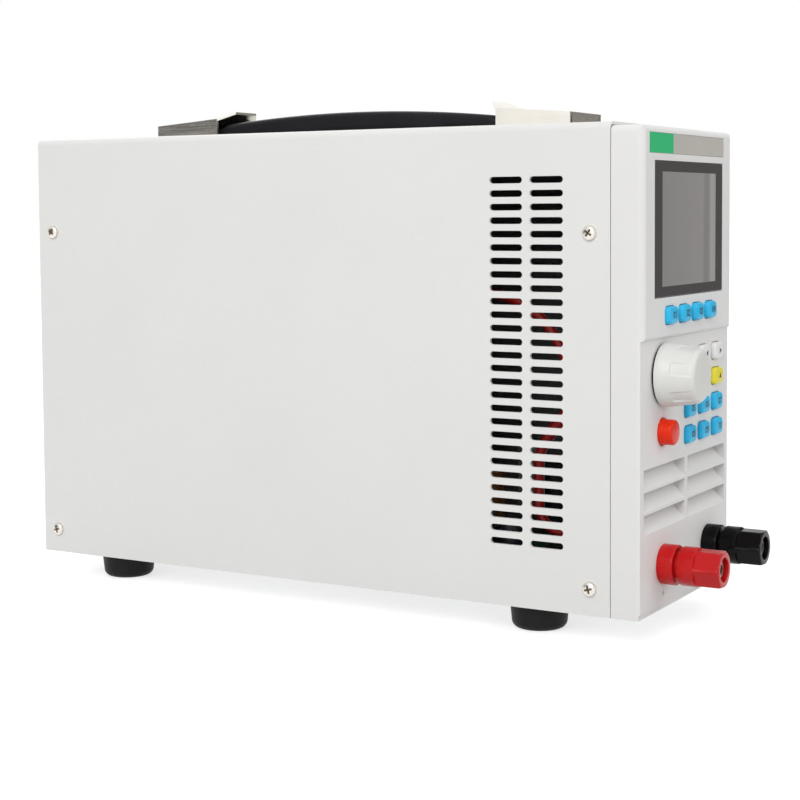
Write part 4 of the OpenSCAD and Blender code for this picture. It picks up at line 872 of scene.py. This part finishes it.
@dataclass
class Key(SubAssembly):
    """One silicone key: a crowned cap, a flange behind the panel and a stem."""

    node: str
    x: float
    z: float
    face: float
    finish: Finish
    slot: str
    mark: Mark = Mark.NUMBER
    sign: str = ""
    sign_h: float = 3.5
    arrow: tuple[Flat, ...] = ((-0.75, -1.15), (1.25, 0.0), (-0.75, 1.15))
    w: float = 9.3
    h: float = 6.5
    out: float = 2.2
    corner: float = 1.7
    edge: float = 1.15
    edge_steps: int = 6
    crown: float = 0.3
    crown_corner: float = 1.2
    rim: float = 1.1
    rim_t: float = 1.2
    rim_corner: float = 1.6
    stem_d: float = 3.4
    crease: float = 50.0

    def cap(self) -> list[Ring]:
        """Shapes the key.

        Returns:
            Rings from the stem's tip to the crown.
        """
        back, foot, stem = -PANEL_WALL, -PANEL_WALL - self.rim_t, self.stem_d
        wide, tall = self.w + 2 * self.rim, self.h + 2 * self.rim
        rings = [pad(stem, stem, stem / 2, z) for z in (SWITCH_FACE - self.face, foot)]
        rings += [pad(wide, tall, self.rim_corner, z) for z in (foot, back)]
        rings += [pad(self.w, self.h, self.corner, z) for z in (back, 0.2)]
        for grow, z in rounded(0.0, self.out - self.crown, self.edge, self.edge_steps):
            rings.append(pad(self.w + 2 * grow, self.h + 2 * grow, self.corner + grow * 0.4, z))
        wide, tall = self.w - 2 * self.edge, self.h - 2 * self.edge
        for k in (0.8, 0.6, 0.4, 0.2, 0.03):
            rings.append(pad(wide * k, tall * k, self.crown_corner * k, self.out - self.crown * k * k))
        return rings

    def build(self) -> None:
        """Makes the key and its print."""
        place = on_front(self.x, self.z, self.face)
        piece = Mesher().loft(self.cap(), place).make(self.node + "_cap", self.finish, crease=self.crease)
        carry(piece, self.node, self.slot, self.node)
        top = place @ Matrix.Translation((0.0, 0.0, self.out - 0.02))
        if self.mark is Mark.NUMBER:
            mesher = raised_sign(self.sign, self.sign_h, top)
        else:
            turn = Matrix.Rotation(math.radians(self.mark.value), 4, "Z")
            mesher = Mesher().prism(self.arrow, PRINT_SINK, PRINT_PROUD, top @ turn)
        carry(mesher.make(self.node + "_print", INK_DARK), self.node, self.slot)


@dataclass
class Keypad(SubAssembly):
    """All the keys with the boards and switches behind them."""

    mode_z: float = 109.4
    mode_xs: tuple[float, ...] = (-20.4, -6.8, 6.8, 20.4)
    columns: tuple[float, ...] = (2.5, 17.0, 31.5)
    rows: tuple[float, ...] = (62.5, 72.5, 82.5, 92.5)
    functions: int = 6

    def keys(self) -> list[Key]:
        """Lists the keys with their places and finishes.

        Returns:
            The keys, in the order in which they are made.
        """
        blue = (KEY_BLUE, "key_blue", Mark.NUMBER)
        keys = [Key(f"mode_key_{i}", x, self.mode_z, UPPER_FACE, *blue, f"{i:02d}")
                for i, x in enumerate(self.mode_xs, 1)]
        for i in range(self.functions):
            spot = (self.columns[i % 3], self.rows[1 - i // 3])
            number = f"{len(keys) + 1:02d}"
            keys.append(Key(f"function_key_{i + 1}", *spot, LOWER_FACE, *blue, number))
        spot = (self.columns[2], self.rows[2])
        keys.append(Key("shift_key", *spot, LOWER_FACE, KEY_YELLOW, "key_yellow", Mark.UP))
        for name, column, mark in (("left", 1, Mark.LEFT), ("right", 2, Mark.RIGHT)):
            spot = (self.columns[column], self.rows[3])
            keys.append(Key("arrow_key_" + name, *spot, LOWER_FACE, KEY_WHITE, "key_white", mark))
        return keys

    def build(self) -> None:
        """Makes every key."""
        for key in self.keys():
            key.assemble()

    def dress(self) -> None:
        """Dresses the front board and its switches."""
        coat(BOARD, "front_pcb")
        coat(BLACK_MOULD, "tact_switches")


@dataclass
class LoadButton(SubAssembly):
    """The round red button that switches the load."""

    x: float = -24.0
    z: float = 66.4
    stem_r: float = 1.7
    flange_r: float = 6.2
    flange_t: float = 1.2
    shoulder_r: float = 5.1
    shoulder: float = 1.0
    shoulder_edge: float = 0.35
    cap_r: float = 4.75
    cap_edge: float = 1.1
    out: float = 5.4
    dome: tuple[Flat, ...] = ((2.2, 0.08), (1.0, 0.02), (0.0, 0.0))

    def build(self) -> None:
        """Turns the button with its flange, shoulder and domed cap."""
        tip, back, foot = SWITCH_FACE - LOWER_FACE, -PANEL_WALL, -PANEL_WALL - self.flange_t
        profile = [(0.0, tip), (self.stem_r, tip), (self.stem_r, foot), (self.flange_r, foot)]
        profile += [(self.flange_r, back), (self.shoulder_r, back)]
        profile += rounded(self.shoulder_r, self.shoulder, self.shoulder_edge, 4)
        profile += [(self.cap_r + d, self.shoulder + z) for d, z in ((0.12, 0.0), (0.03, 0.12), (0.0, 0.3))]
        profile += rounded(self.cap_r, self.out - 0.2, self.cap_edge, 8)
        profile += [(r, self.out - sink) for r, sink in self.dome]
        piece = Mesher().lathe(profile, on_front(self.x, self.z), 72).make("load_button_cap", BUTTON_RED)
        carry(piece, "load_button", "button_red", "load_button")


@dataclass
class EncoderKnob(SubAssembly):
    """The conical knob with its sunk grip pads, a dark ring behind it that paints the shadow in the gap, and
    the rotary encoder.
    """

    x: float = -23.7
    z: float = 87.6
    base_r: float = 11.85
    face_r: float = 10.2
    length: float = 14.8
    gap: float = 0.7
    skirt: float = 2.0
    edge: float = 2.0
    pads: int = 6
    phase: float = 162.5
    pad_half: float = 2.4
    pad_low: float = 6.0
    pad_d: float = 0.55
    pad_end_d: float = 0.2
    pad_soft: float = 0.7
    # The dark ring in the gap behind the knob, which paints the shadow there.
    shade_ring_inner_r: float = 6.3
    shade_ring_r: float = 11.35
    shade_ring_t: float = 0.55
    shade_ring_soft: float = 0.12
    sides: int = 288
    bore_r: float = 3.05
    face_t: float = 3.0
    well_r: float = 5.7
    well_d: float = 2.0
    crease: float = 40.0

    def flank(self, z: float) -> float:
        """Gives the cone's radius at a height over the knob's back."""
        share = max(0.0, z - self.skirt) / (self.length - self.edge - self.skirt)
        return self.base_r + (self.face_r - self.base_r) * share

    def ring(self, radius: float, z: float, depth: float = 0.0) -> Ring:
        """Gives a ring whose radius dips at each grip pad.

        Args:
            radius: radius between the pads.
            z: height over the knob's back.
            depth: depth of the pads at this height.

        Returns:
            The ring.
        """
        ring = []
        pitch = 360.0 / self.pads
        for i in range(self.sides):
            angle = 360.0 * i / self.sides
            away = (angle - self.phase + pitch / 2) % pitch - pitch / 2
            across = abs(math.radians(away)) * radius
            r = radius - depth * ease((self.pad_half + self.pad_soft / 2 - across) / self.pad_soft)
            turn = math.radians(angle)
            ring.append(Vector((r * math.cos(turn), r * math.sin(turn), z + self.gap)))
        return ring

    def skin(self) -> list[Ring]:
        """Shapes the knob.

        Returns:
            Rings from the bore over the back, the flank and the round edge to the face.
        """
        profile = [(self.bore_r, self.length - self.face_t), (self.bore_r, self.well_d)]
        profile += [(self.well_r, self.well_d), (self.well_r, 0.0)]
        profile += [(self.base_r - 0.4, 0.0), (self.base_r - 0.1, 0.12), (self.base_r, 0.4)]
        rings = [self.ring(r, z) for r, z in profile]
        pad_l = self.length - self.edge - self.pad_low
        heights = [self.skirt + d for d in (-0.3, 0.0, 0.3)]
        heights += [self.pad_low + d for d in (-0.35, -0.2, 0.0, 0.2, 0.35)]
        heights += [self.pad_low + pad_l * k for k in (0.25, 0.5, 0.75, 0.95)]
        for z in heights:
            depth = self.pad_d + (self.pad_end_d - self.pad_d) * (z - self.pad_low) / pad_l
            rise = ease((z - self.pad_low + self.pad_soft / 2) / self.pad_soft)
            rings.append(self.ring(self.flank(z), z, depth * rise))
        for r, z in rounded(self.flank(self.length - self.edge), self.length, self.edge, 7):
            rings.append(self.ring(r, z, self.pad_end_d))
        for k, sink in ((0.85, 0.0), (0.6, 0.03), (0.3, 0.05), (0.02, 0.06)):
            rings.append(self.ring((self.face_r - self.edge) * k, self.length - sink))
        return rings

    def build(self) -> None:
        """Makes the knob and the dark ring behind it, which paints the shadow in the gap to the panel."""
        place = on_front(self.x, self.z)
        piece = Mesher().loft(self.skin(), place).make("knob_moulding", KNOB_WHITE, crease=self.crease)
        carry(piece, "knob", "knob_white", "knob")
        # The ring paints the shadow in the gap between knob and panel.
        inner, outer, soft = self.shade_ring_inner_r, self.shade_ring_r, self.shade_ring_soft
        low, high = self.gap - self.shade_ring_t, self.gap + 0.03
        section = [(inner, high), (inner, low + soft), (inner + soft, low)]
        section += [(outer - soft, low), (outer, low + soft), (outer, high)]
        carry(Mesher().hoop(section, place, 96).make("knob_painted_shade_ring", PAINTED_SHADE_RING), "knob", "black_plastic")

    def dress(self) -> None:
        """Dresses the encoder behind the panel."""
        coat(BLACK_MOULD, "encoder_body")
        coat(NICKEL, "encoder_shaft")


@dataclass
class BindingPost(SubAssembly):
    """One binding post: base, metal stem with plug socket, washer and screwed cap."""

    hue: str
    x: float
    finish: Finish
    slot: str
    z: float = 17.0
    base_r: float = 7.5
    base_l: float = 6.2
    neck_r: float = 5.0
    bore_r: float = 3.05
    cap_z: float = 7.7
    seat_r: float = 5.55
    seat_d: float = 0.95
    collar_l: float = 6.4
    end_z: float = 23.8
    flats: float = 12.7
    recess_r: float = 4.4
    recess: float = 4.2
    sides: int = 144
    crease: float = 22.0

    def grip_ring(self, limit: float, z: float, hexed: float) -> Ring:
        """Gives a ring of the cap, between round and six-sided.

        Args:
            limit: radius that trims the corners.
            z: height over the panel.
            hexed: 0 for round, 1 for six-sided.

        Returns:
            The ring.
        """
        ring = []
        for i in range(self.sides):
            turn = 2 * math.pi * i / self.sides
            off = (turn + math.pi / 6) % (math.pi / 3) - math.pi / 6
            flat = self.flats / 2 / math.cos(math.pi / 6 - abs(off))
            r = min(limit, flat * hexed + limit * (1 - hexed))
            ring.append(Vector((r * math.cos(turn), r * math.sin(turn), z)))
        return ring

    def base(self) -> list[Flat]:
        """Shapes the base with its neck.

        Returns:
            The closed section that is turned.
        """
        neck, top = self.neck_r, self.base_l
        section = [(self.bore_r, -PANEL_WALL), (neck, -PANEL_WALL), (neck, 0.0), (self.base_r - 0.25, 0.0)]
        section += [(self.base_r, 0.25)] + rounded(self.base_r, top, 0.6, 5)
        return section + [(neck + 0.3, top), (neck, top + 0.3), (neck, self.cap_z), (self.bore_r, self.cap_z)]

    def grip(self) -> list[Ring]:
        """Shapes the cap.

        Returns:
            Rings over the seat, the round collar, the six-sided grip, the recess and the bore.
        """
        corner = self.flats / 2 / math.cos(math.pi / 6)
        start, collar, end = self.cap_z, self.cap_z + self.collar_l, self.end_z
        rows = [(self.seat_r, start + self.seat_d, 0), (self.seat_r, start, 0)]
        rows += [(corner - cut, start + z, 0) for cut, z in ((0.8, 0.0), (0.2, 0.25), (0.0, 0.8))]
        steps = ((0.0, -0.35, 0), (0.05, -0.1, 0.1), (0.08, 0.15, 1))
        rows += [(corner - cut, collar + z, hexed) for cut, z, hexed in steps]
        trims = ((0.08, 0.9), (0.45, 0.35), (0.95, 0.05), (1.15, 0.0))
        rows += [(corner - cut, end - z, 1) for cut, z in trims]
        rows += [(self.recess_r + r, end - z, 0) for r, z in ((0.2, 0.0), (0.0, 0.2), (0.0, self.recess))]
        rows += [(self.bore_r, end - self.recess, 0), (self.bore_r, start + self.seat_d, 0)]
        return [self.grip_ring(*row) for row in rows + rows[:1]]

    def build(self) -> None:
        """Makes the base and the cap."""
        place = on_front(self.x, self.z)
        base = Mesher().hoop(self.base(), place, 96).make(f"post_{self.hue}_base", self.finish)
        carry(base, "case", self.slot, "post_base_" + self.hue)
        grip = Mesher().loft(self.grip(), place, False)
        cap = grip.make(f"post_{self.hue}_grip", self.finish, crease=self.crease)
        carry(cap, "post_cap_" + self.hue, self.slot, "post_cap_" + self.hue)

    def dress(self) -> None:
        """Plates the stem and the washer."""
        coat(NICKEL, "post_stem_" + self.hue, "post_washer_" + self.hue)


@dataclass
class Handle(SubAssembly):
    """The strap handle: a bowed rubber strap held in two plated end caps."""

    y: float = 129.6
    top: float = 180.0
    rise: float = 9.15
    bow_r: float = 615.0
    strap_w: float = 24.0
    strap_t: float = 5.5
    strap_r: float = 2.0
    grip_t: float = 7.2
    grip_half: float = 45.0
    swell_past: float = 2.0
    swell_l: float = 8.0
    mouth: float = 67.3
    fall_before: float = 4.0
    fall_l: float = 6.0
    tongue_end: float = 96.3
    tongue_t: float = 3.4
    tongue_gap: float = 0.15
    tongue_r: float = 1.2
    lift_to: float = 18.0
    steps: int = 60
    crease: float = 45.0
    cap_edge: float = 0.25
    cap_edge_steps: int = 2
    cap_angle: float = 40.0

    def section(self, along: float, side: int) -> Ring:
        """Gives the strap's section at a distance from the handle's middle.

        Args:
            along: distance from the middle.
            side: -1 for the front half, 1 for the rear half.

        Returns:
            A ring in millimetres of the seam frame.
        """
        bow = math.sqrt(self.bow_r ** 2 - min(along, self.mouth) ** 2) - self.bow_r
        swell = ease((self.grip_half + self.swell_past - along) / self.swell_l)
        thick = self.strap_t + (self.grip_t - self.strap_t) * swell
        middle = self.top + self.rise + bow - thick / 2
        share = ease((along - self.mouth + self.fall_before) / self.fall_l)
        middle += (self.top + self.tongue_gap + self.tongue_t / 2 - middle) * share
        thick += (self.tongue_t - thick) * share
        tilt = -along / self.bow_r * (1 - share)
        corner = self.strap_r if share < 0.5 else self.tongue_r
        ring = []
        for point in pad(self.strap_w - share, thick, corner, 0.0, 8):
            lean = point.y * math.sin(tilt)
            ring.append(Vector((point.x, self.y + side * (along - lean), middle + point.y * math.cos(tilt))))
        return ring

    def build(self) -> None:
        """Makes the strap's two halves, which bend up from the end caps to the middle."""
        place = Matrix.Translation(SEAM) @ Matrix.Scale(MM, 4)
        for side, name in ((-1, "front"), (1, "rear")):
            rings = [self.section(self.tongue_end * i / self.steps, side) for i in range(self.steps + 1)]
            piece = Mesher().loft(rings, place).make(f"strap_{name}_half", STRAP_RUBBER, crease=self.crease)
            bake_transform(piece)
            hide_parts("strap_flex_" + name, "strap_grip")
            LOG.info("piece %s bends from case to handle_strap", piece.name)

    def dress(self) -> None:
        """Plates the end caps and breaks their edges."""
        for name in ("handle_cap_front", "handle_cap_rear"):
            coat(CAP_PLATE, name)
            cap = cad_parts[name]
            cap.modifiers.new("weld", "WELD").merge_threshold = WELD
            bevel = cap.modifiers.new("edge", "BEVEL")
            bevel.width = self.cap_edge * MM
            bevel.segments = self.cap_edge_steps
            bevel.limit_method = "ANGLE"
            bevel.angle_limit = math.radians(self.cap_angle)


@dataclass
class RearSet(SubAssembly):
    """What the rear panel carries: fan, guard, mains inlet, power rocker and data port."""

    rear_y: float = 268.0
    inlet: Flat = (-22.0, 42.0)
    blades: tuple[Flat, ...] = ((-7.0, -2.0), (7.0, -2.0), (0.0, 2.0))
    blade_w: float = 2.06
    blade_h: float = 4.06
    blade_r: float = 0.3
    blade_taper: tuple[Flat, ...] = ((1.0, -13.3), (1.0, -1.6), (0.8, -1.15), (0.55, -0.97))
    rocker: Flat = (20.0, 42.0)
    rocker_axis: float = -1.5
    rocker_tilt: float = 10.0
    rocker_fall: Flat = (7.95, 1.35)
    mark_y: float = 4.3
    mark_z: float = 3.9
    mark_h: float = 3.0
    mark_sink: float = -0.15
    mark_proud: float = 0.04
    port: Flat = (12.0, 18.0)
    shell_top: float = 16.9
    shell_low: float = 14.6
    shell_h: float = 8.4
    shell_l: float = 5.0
    shell_t: float = 0.55
    insulator_zs: Flat = (-0.2, 0.03)
    pin_pitch: float = 2.77
    row_half: float = 1.42
    pin_rim: tuple[Flat, ...] = (
        (0.0, 0.0), (0.62, 0.0), (0.62, 0.08), (0.36, 0.08), (0.36, 0.035), (0.0, 0.035))

    def contacts(self) -> None:
        """Makes the inlet's three blades."""
        place = Facing.REAR.place(self.inlet[0], self.rear_y, self.inlet[1])
        mesher = Mesher()
        for x, y in self.blades:
            rings = [pad(self.blade_w * k, self.blade_h * min(1.0, k + 0.1), self.blade_r * k, z, 3)
                     for k, z in self.blade_taper]
            mesher.loft(rings, place @ Matrix.Translation((x, y, 0.0)))
        carry(mesher.make("inlet_contacts", NICKEL), "case", "nickel")

    def marks(self) -> None:
        """Prints the bar and the ring on the rocker's two slopes."""
        swing = Facing.REAR.place(self.rocker[0], self.rear_y, self.rocker[1])
        swing = swing @ Matrix.Translation((0.0, 0.0, self.rocker_axis))
        swing = swing @ Matrix.Rotation(math.radians(self.rocker_tilt), 4, "X")
        run, fall = self.rocker_fall
        upper, lower = (
            swing @ Matrix.Translation((0.0, side * self.mark_y, self.mark_z))
            @ Matrix.Rotation(side * math.atan2(fall, run), 4, "X") for side in (1, -1))
        low, high, radius = self.mark_sink, self.mark_proud, self.mark_h / 2
        mesher = Mesher().prism(slab(self.mark_h / 5, self.mark_h), low, high, upper)
        mesher.hoop(((radius, low), (radius, high), (radius - 0.5, high), (radius - 0.5, low)), lower, 40)
        carry(mesher.make("rocker_marks", INK_PALE), "power_rocker", "rocker_red")

    def socket(self) -> None:
        """Makes the port's insulator and its nine contacts."""
        place = Facing.REAR.place(self.port[0], self.rear_y + self.shell_l - 0.5, self.port[1])
        top, low, half = (size / 2 - self.shell_t for size in (self.shell_top, self.shell_low, self.shell_h))
        face = [(-low, -half), (low, -half), (top, half), (-top, half)]
        insulator = Mesher().prism(face, *self.insulator_zs, place).make("port_insulator", BLACK_MOULD)
        carry(insulator, "case", "black_plastic")
        mesher = Mesher()
        for count, y in ((5, self.row_half), (4, -self.row_half)):
            for i in range(count):
                spot = ((i - (count - 1) / 2) * self.pin_pitch, y, 0.0)
                mesher.lathe(self.pin_rim, place @ Matrix.Translation(spot), 20)
        carry(mesher.make("port_contacts", GOLD), "case", "port_metal")

    def build(self) -> None:
        """Makes the small pieces of the inlet, the switch and the port."""
        self.contacts()
        self.marks()
        self.socket()

    def dress(self) -> None:
        """Dresses the fan, its guard, the inlet, the switch and the port."""
        coat(BLACK_MOULD, "fan_frame", "fan_impeller", "mains_inlet", "rocker_frame")
        coat(NICKEL, "fan_guard")
        coat(ROCKER_RED, "rocker_paddle")
        coat(PORT_METAL, "comm_port")


@dataclass
class Interior(SubAssembly):
    """What shows through the vents: boards, heatsink, transformer, leads and cans."""

    board_z: float = 15.6
    cans: tuple[tuple[float, float, float, float], ...] = (
        (-34.0, 46.0, 5.0, 16.0), (-34.0, 60.0, 6.3, 20.0), (-34.0, 76.0, 6.3, 20.0), (33.0, 60.0, 8.0, 26.0))
    chips: tuple[tuple[float, float, float, float], ...] = (
        (-38.0, 36.0, 6.0, 4.0), (-10.0, 38.0, 9.0, 7.0), (4.0, 40.0, 6.0, 4.0), (-33.0, 92.0, 7.0, 10.0))
    chip_layers: tuple[Flat, ...] = ((0.0, 0.2), (0.2, 0.9), (0.0, 1.7))
    lead_pitch: float = 1.27
    lead_start: float = 0.8
    lead_w: float = 0.4
    lead_l: float = 1.0
    lead_h: float = 0.5

    def stand_cans(self) -> None:
        """Stands the capacitors, each with its place, radius and height, on the main board."""
        mesher = Mesher()
        for x, y, r, h in self.cans:
            neck = r - 0.35
            profile = [(0.0, 0.0), (r - 0.4, 0.0), (r, 0.5), (r, 1.6), (neck, 2.0), (neck, 2.4), (r, 2.9)]
            profile += rounded(r, h, 0.8, 4) + [(r - 1.4, h), (r - 1.6, h - 0.3), (0.0, h - 0.3)]
            mesher.lathe(profile, Facing.UP.place(x, y, self.board_z), 40)
        carry(mesher.make("board_capacitors", CAN_SLEEVE), "case", "black_plastic")

    def lay_chips(self) -> None:
        """Lays the chips, each with its place, width and depth, and their rows of leads on the main board."""
        mesher = Mesher()
        for x, y, w, d in self.chips:
            rings = [pad(w + more, d + more, 0.2, z, 2) for more, z in self.chip_layers]
            mesher.loft(rings, Facing.UP.place(x, y, self.board_z))
            lead = [pad(self.lead_w, self.lead_l, 0.1, z, 2) for z in (0.0, self.lead_h)]
            for side in (-1, 1):
                row = y + side * (d + self.lead_l) / 2
                for i in range(int(w / self.lead_pitch)):
                    along = x - w / 2 + self.lead_start + i * self.lead_pitch
                    mesher.loft(lead, Facing.UP.place(along, row, self.board_z))
        carry(mesher.make("board_chips", BLACK_MOULD), "case", "black_plastic")

    def build(self) -> None:
        """Makes the parts on the main board."""
        self.stand_cans()
        self.lay_chips()

    def dress(self) -> None:
        """Dresses the parts inside the case."""
        coat(BOARD, "main_pcb")
        coat(NYLON, "pcb_standoffs")
        coat(ALUMINIUM, "heatsink")
        coat(BLACK_MOULD, "power_transistors")
        coat(CORE_STEEL, "transformer_core")
        coat(WINDING, "transformer_winding")
        coat(WIRE_RED, "power_lead_red")
        coat(WIRE_BLACK, "power_lead_black")
        coat(NICKEL, "post_nuts")


def aim(thing: Piece, place: Point, target: Point, axis: str) -> None:
    """Puts a lamp or card at a place and turns one of its axes to a target."""
    thing.location = place
    thing.rotation_euler = (Vector(target) - Vector(place)).to_track_quat(axis, "Y").to_euler()


def sheet(name: str, w: float, h: float, material: bpy.types.Material) -> Piece:
    """Makes a flat sheet of the stage.

    Args:
        name: the sheet's name.
        w: width in metres.
        h: height in metres.
        material: its material.

    Returns:
        The sheet, lying at the origin.
    """
    mesh = bpy.data.meshes.new(name)
    mesh.from_pydata([(x, y, 0.0) for x, y in slab(w, h)], [], [(0, 1, 2, 3)])
    mesh.materials.append(material)
    made = stand(name, mesh)
    return made


@dataclass
class Studio:
    """The camera at the photograph's angle, the pale floor and the soft light."""

    focal_px: float = 1706.363
    frame_px: float = 800.0
    sensor: float = 36.0
    azimuth: float = -60.385
    pitch: float = 3.498
    roll: float = -0.342
    axis_px: Flat = (426.744, 314.407)
    shift_of_middle: Point = (88.786, 18.12, 654.819)
    middle: Point = (0.0, 0.0, 90.0)
    sky: float = 0.62
    floor_side: float = 30.0
    floor_glow: float = 0.66
    floor_colour: Colour = (0.6, 0.6, 0.6)
    lamp_aim: Point = (0.0, 0.0, 0.1)
    lamp_size: float = 1.2
    lamps: tuple[tuple[str, Point, float], ...] = (
        ("key_lamp", (-1.8, -0.45, 1.2), 21.0),
        ("fill_lamp", (0.4, -1.8, 1.0), 6.4),
        ("rear_lamp", (1.0, 1.5, 1.5), 11.0),
    )
    cards: tuple[tuple[str, Point, float, float, float], ...] = (
        ("left_card", (-0.75, 0.8, 0.24), 0.64, 0.5, 0.062),
        ("front_card", (0.72, -0.42, 0.2), 0.7, 0.6, 0.2),
    )
    card_tint: Colour = (1.0, 0.97, 0.92)

    def camera(self) -> None:
        """Makes the scene's camera."""
        az, rise, lean = (math.radians(a) for a in (self.azimuth, self.pitch, self.roll))
        level = math.cos(rise)
        back = Vector((math.sin(az) * level, -math.cos(az) * level, math.sin(rise)))
        right = (-back).cross(Vector((0, 0, 1))).normalized()
        up = right.cross(-back)
        right, up = right * math.cos(lean) + up * math.sin(lean), up * math.cos(lean) - right * math.sin(lean)
        turn = Matrix((right, up, back)).transposed()
        dx, dy, dz = self.shift_of_middle
        centre = Vector(self.middle) - (right * dx - up * dy - back * dz)
        data = bpy.data.cameras.new("photo_camera")
        data.sensor_width = self.sensor
        data.lens = self.focal_px / self.frame_px * self.sensor
        data.shift_x = (self.frame_px / 2 - self.axis_px[0]) / self.frame_px
        data.shift_y = (self.axis_px[1] - self.frame_px / 2) / self.frame_px
        data.clip_start, data.clip_end = 0.01, 100.0
        camera = stand("photo_camera", data)
        camera.matrix_world = Matrix.Translation(at(*centre)) @ turn.to_4x4()
        bpy.context.scene.camera = camera
        LOG.info("camera at %s", tuple(round(v, 3) for v in camera.location))

    def backdrop(self) -> None:
        """Makes a world that looks white and lights softly."""
        graph = Graph(bpy.data.worlds.new("white_room"), "Background")
        bpy.context.scene.world = graph.owner
        paths = graph.add("LightPath", {})
        seen = paths.outputs["Is Camera Ray"]
        for kind in ("Is Glossy Ray", "Is Transmission Ray"):
            seen = graph.math("MAXIMUM", seen, paths.outputs[kind])
        graph.feed(graph.shader.inputs["Color"], EVEN)
        graph.feed(graph.shader.inputs["Strength"], graph.span(seen, 0.0, 1.0, self.sky, 1.0))

    def floor(self) -> None:
        """Lays the pale floor, which keeps a soft shadow."""
        graph = Graph(bpy.data.materials.new("floor_paper"))
        looks = {"Base Color": self.floor_colour, "Roughness": 0.9, "Specular IOR Level": 0.0}
        for key, value in looks.items():
            graph.feed(graph.shader.inputs[key], value)
        paths = graph.add("LightPath", {})
        seen = graph.math("MAXIMUM", paths.outputs["Is Camera Ray"], paths.outputs["Is Glossy Ray"])
        glow = graph.add("Emission", {"Strength": graph.math("MULTIPLY", seen, self.floor_glow)})
        both = graph.add("AddShader", {0: graph.shader.outputs["BSDF"], 1: glow.outputs["Emission"]})
        graph.feed(graph.nodes["Material Output"].inputs["Surface"], both.outputs["Shader"])
        sheet("floor", self.floor_side, self.floor_side, graph.owner)

    def light(self) -> None:
        """Hangs the soft lamps round the part."""
        for name, place, power in self.lamps:
            data = bpy.data.lights.new(name, "AREA")
            data.shape = "DISK"
            data.size = self.lamp_size
            data.energy = power
            aim(stand(name, data), place, self.lamp_aim, "-Z")

    def flags(self) -> None:
        """Stands grey cards beside the part, which only its reflections show."""
        for name, place, wide, tall, grey in self.cards:
            graph = Graph(bpy.data.materials.new(name + "_felt"))
            glow = graph.add("Emission", {"Color": shade(self.card_tint, grey)})
            graph.feed(graph.nodes["Material Output"].inputs["Surface"], glow.outputs["Emission"])
            card = sheet(name, wide, tall, graph.owner)
            aim(card, place, (0.0, 0.0, place[2]), "Z")
            for ray in ("camera", "diffuse", "transmission", "volume_scatter", "shadow"):
                setattr(card, "visible_" + ray, False)

    def set_up(self) -> None:
        """Sets the colour view, then makes the backdrop, floor, lamps and cards."""
        bpy.context.scene.view_settings.view_transform = "Standard"
        self.backdrop()
        self.floor()
        self.light()
        self.flags()


def main() -> None:
    """Builds the scene: the camera first, then each sub-assembly and the studio."""
    logging.basicConfig(level=logging.INFO, format="%(name)s: %(message)s")
    studio = Studio()
    studio.camera()
    groups: list[SubAssembly] = [
        Housing(), CrossScrews(), Display(), Keypad(), LoadButton(), EncoderKnob(),
        BindingPost("red", -POST_X, POST_RED, "post_red"),
        BindingPost("black", POST_X, POST_BLACK, "post_black"),
        Handle(), RearSet(), Interior(),
    ]
    for group in groups:
        group.assemble()
    studio.set_up()


if __name__ == "__main__":
    main()
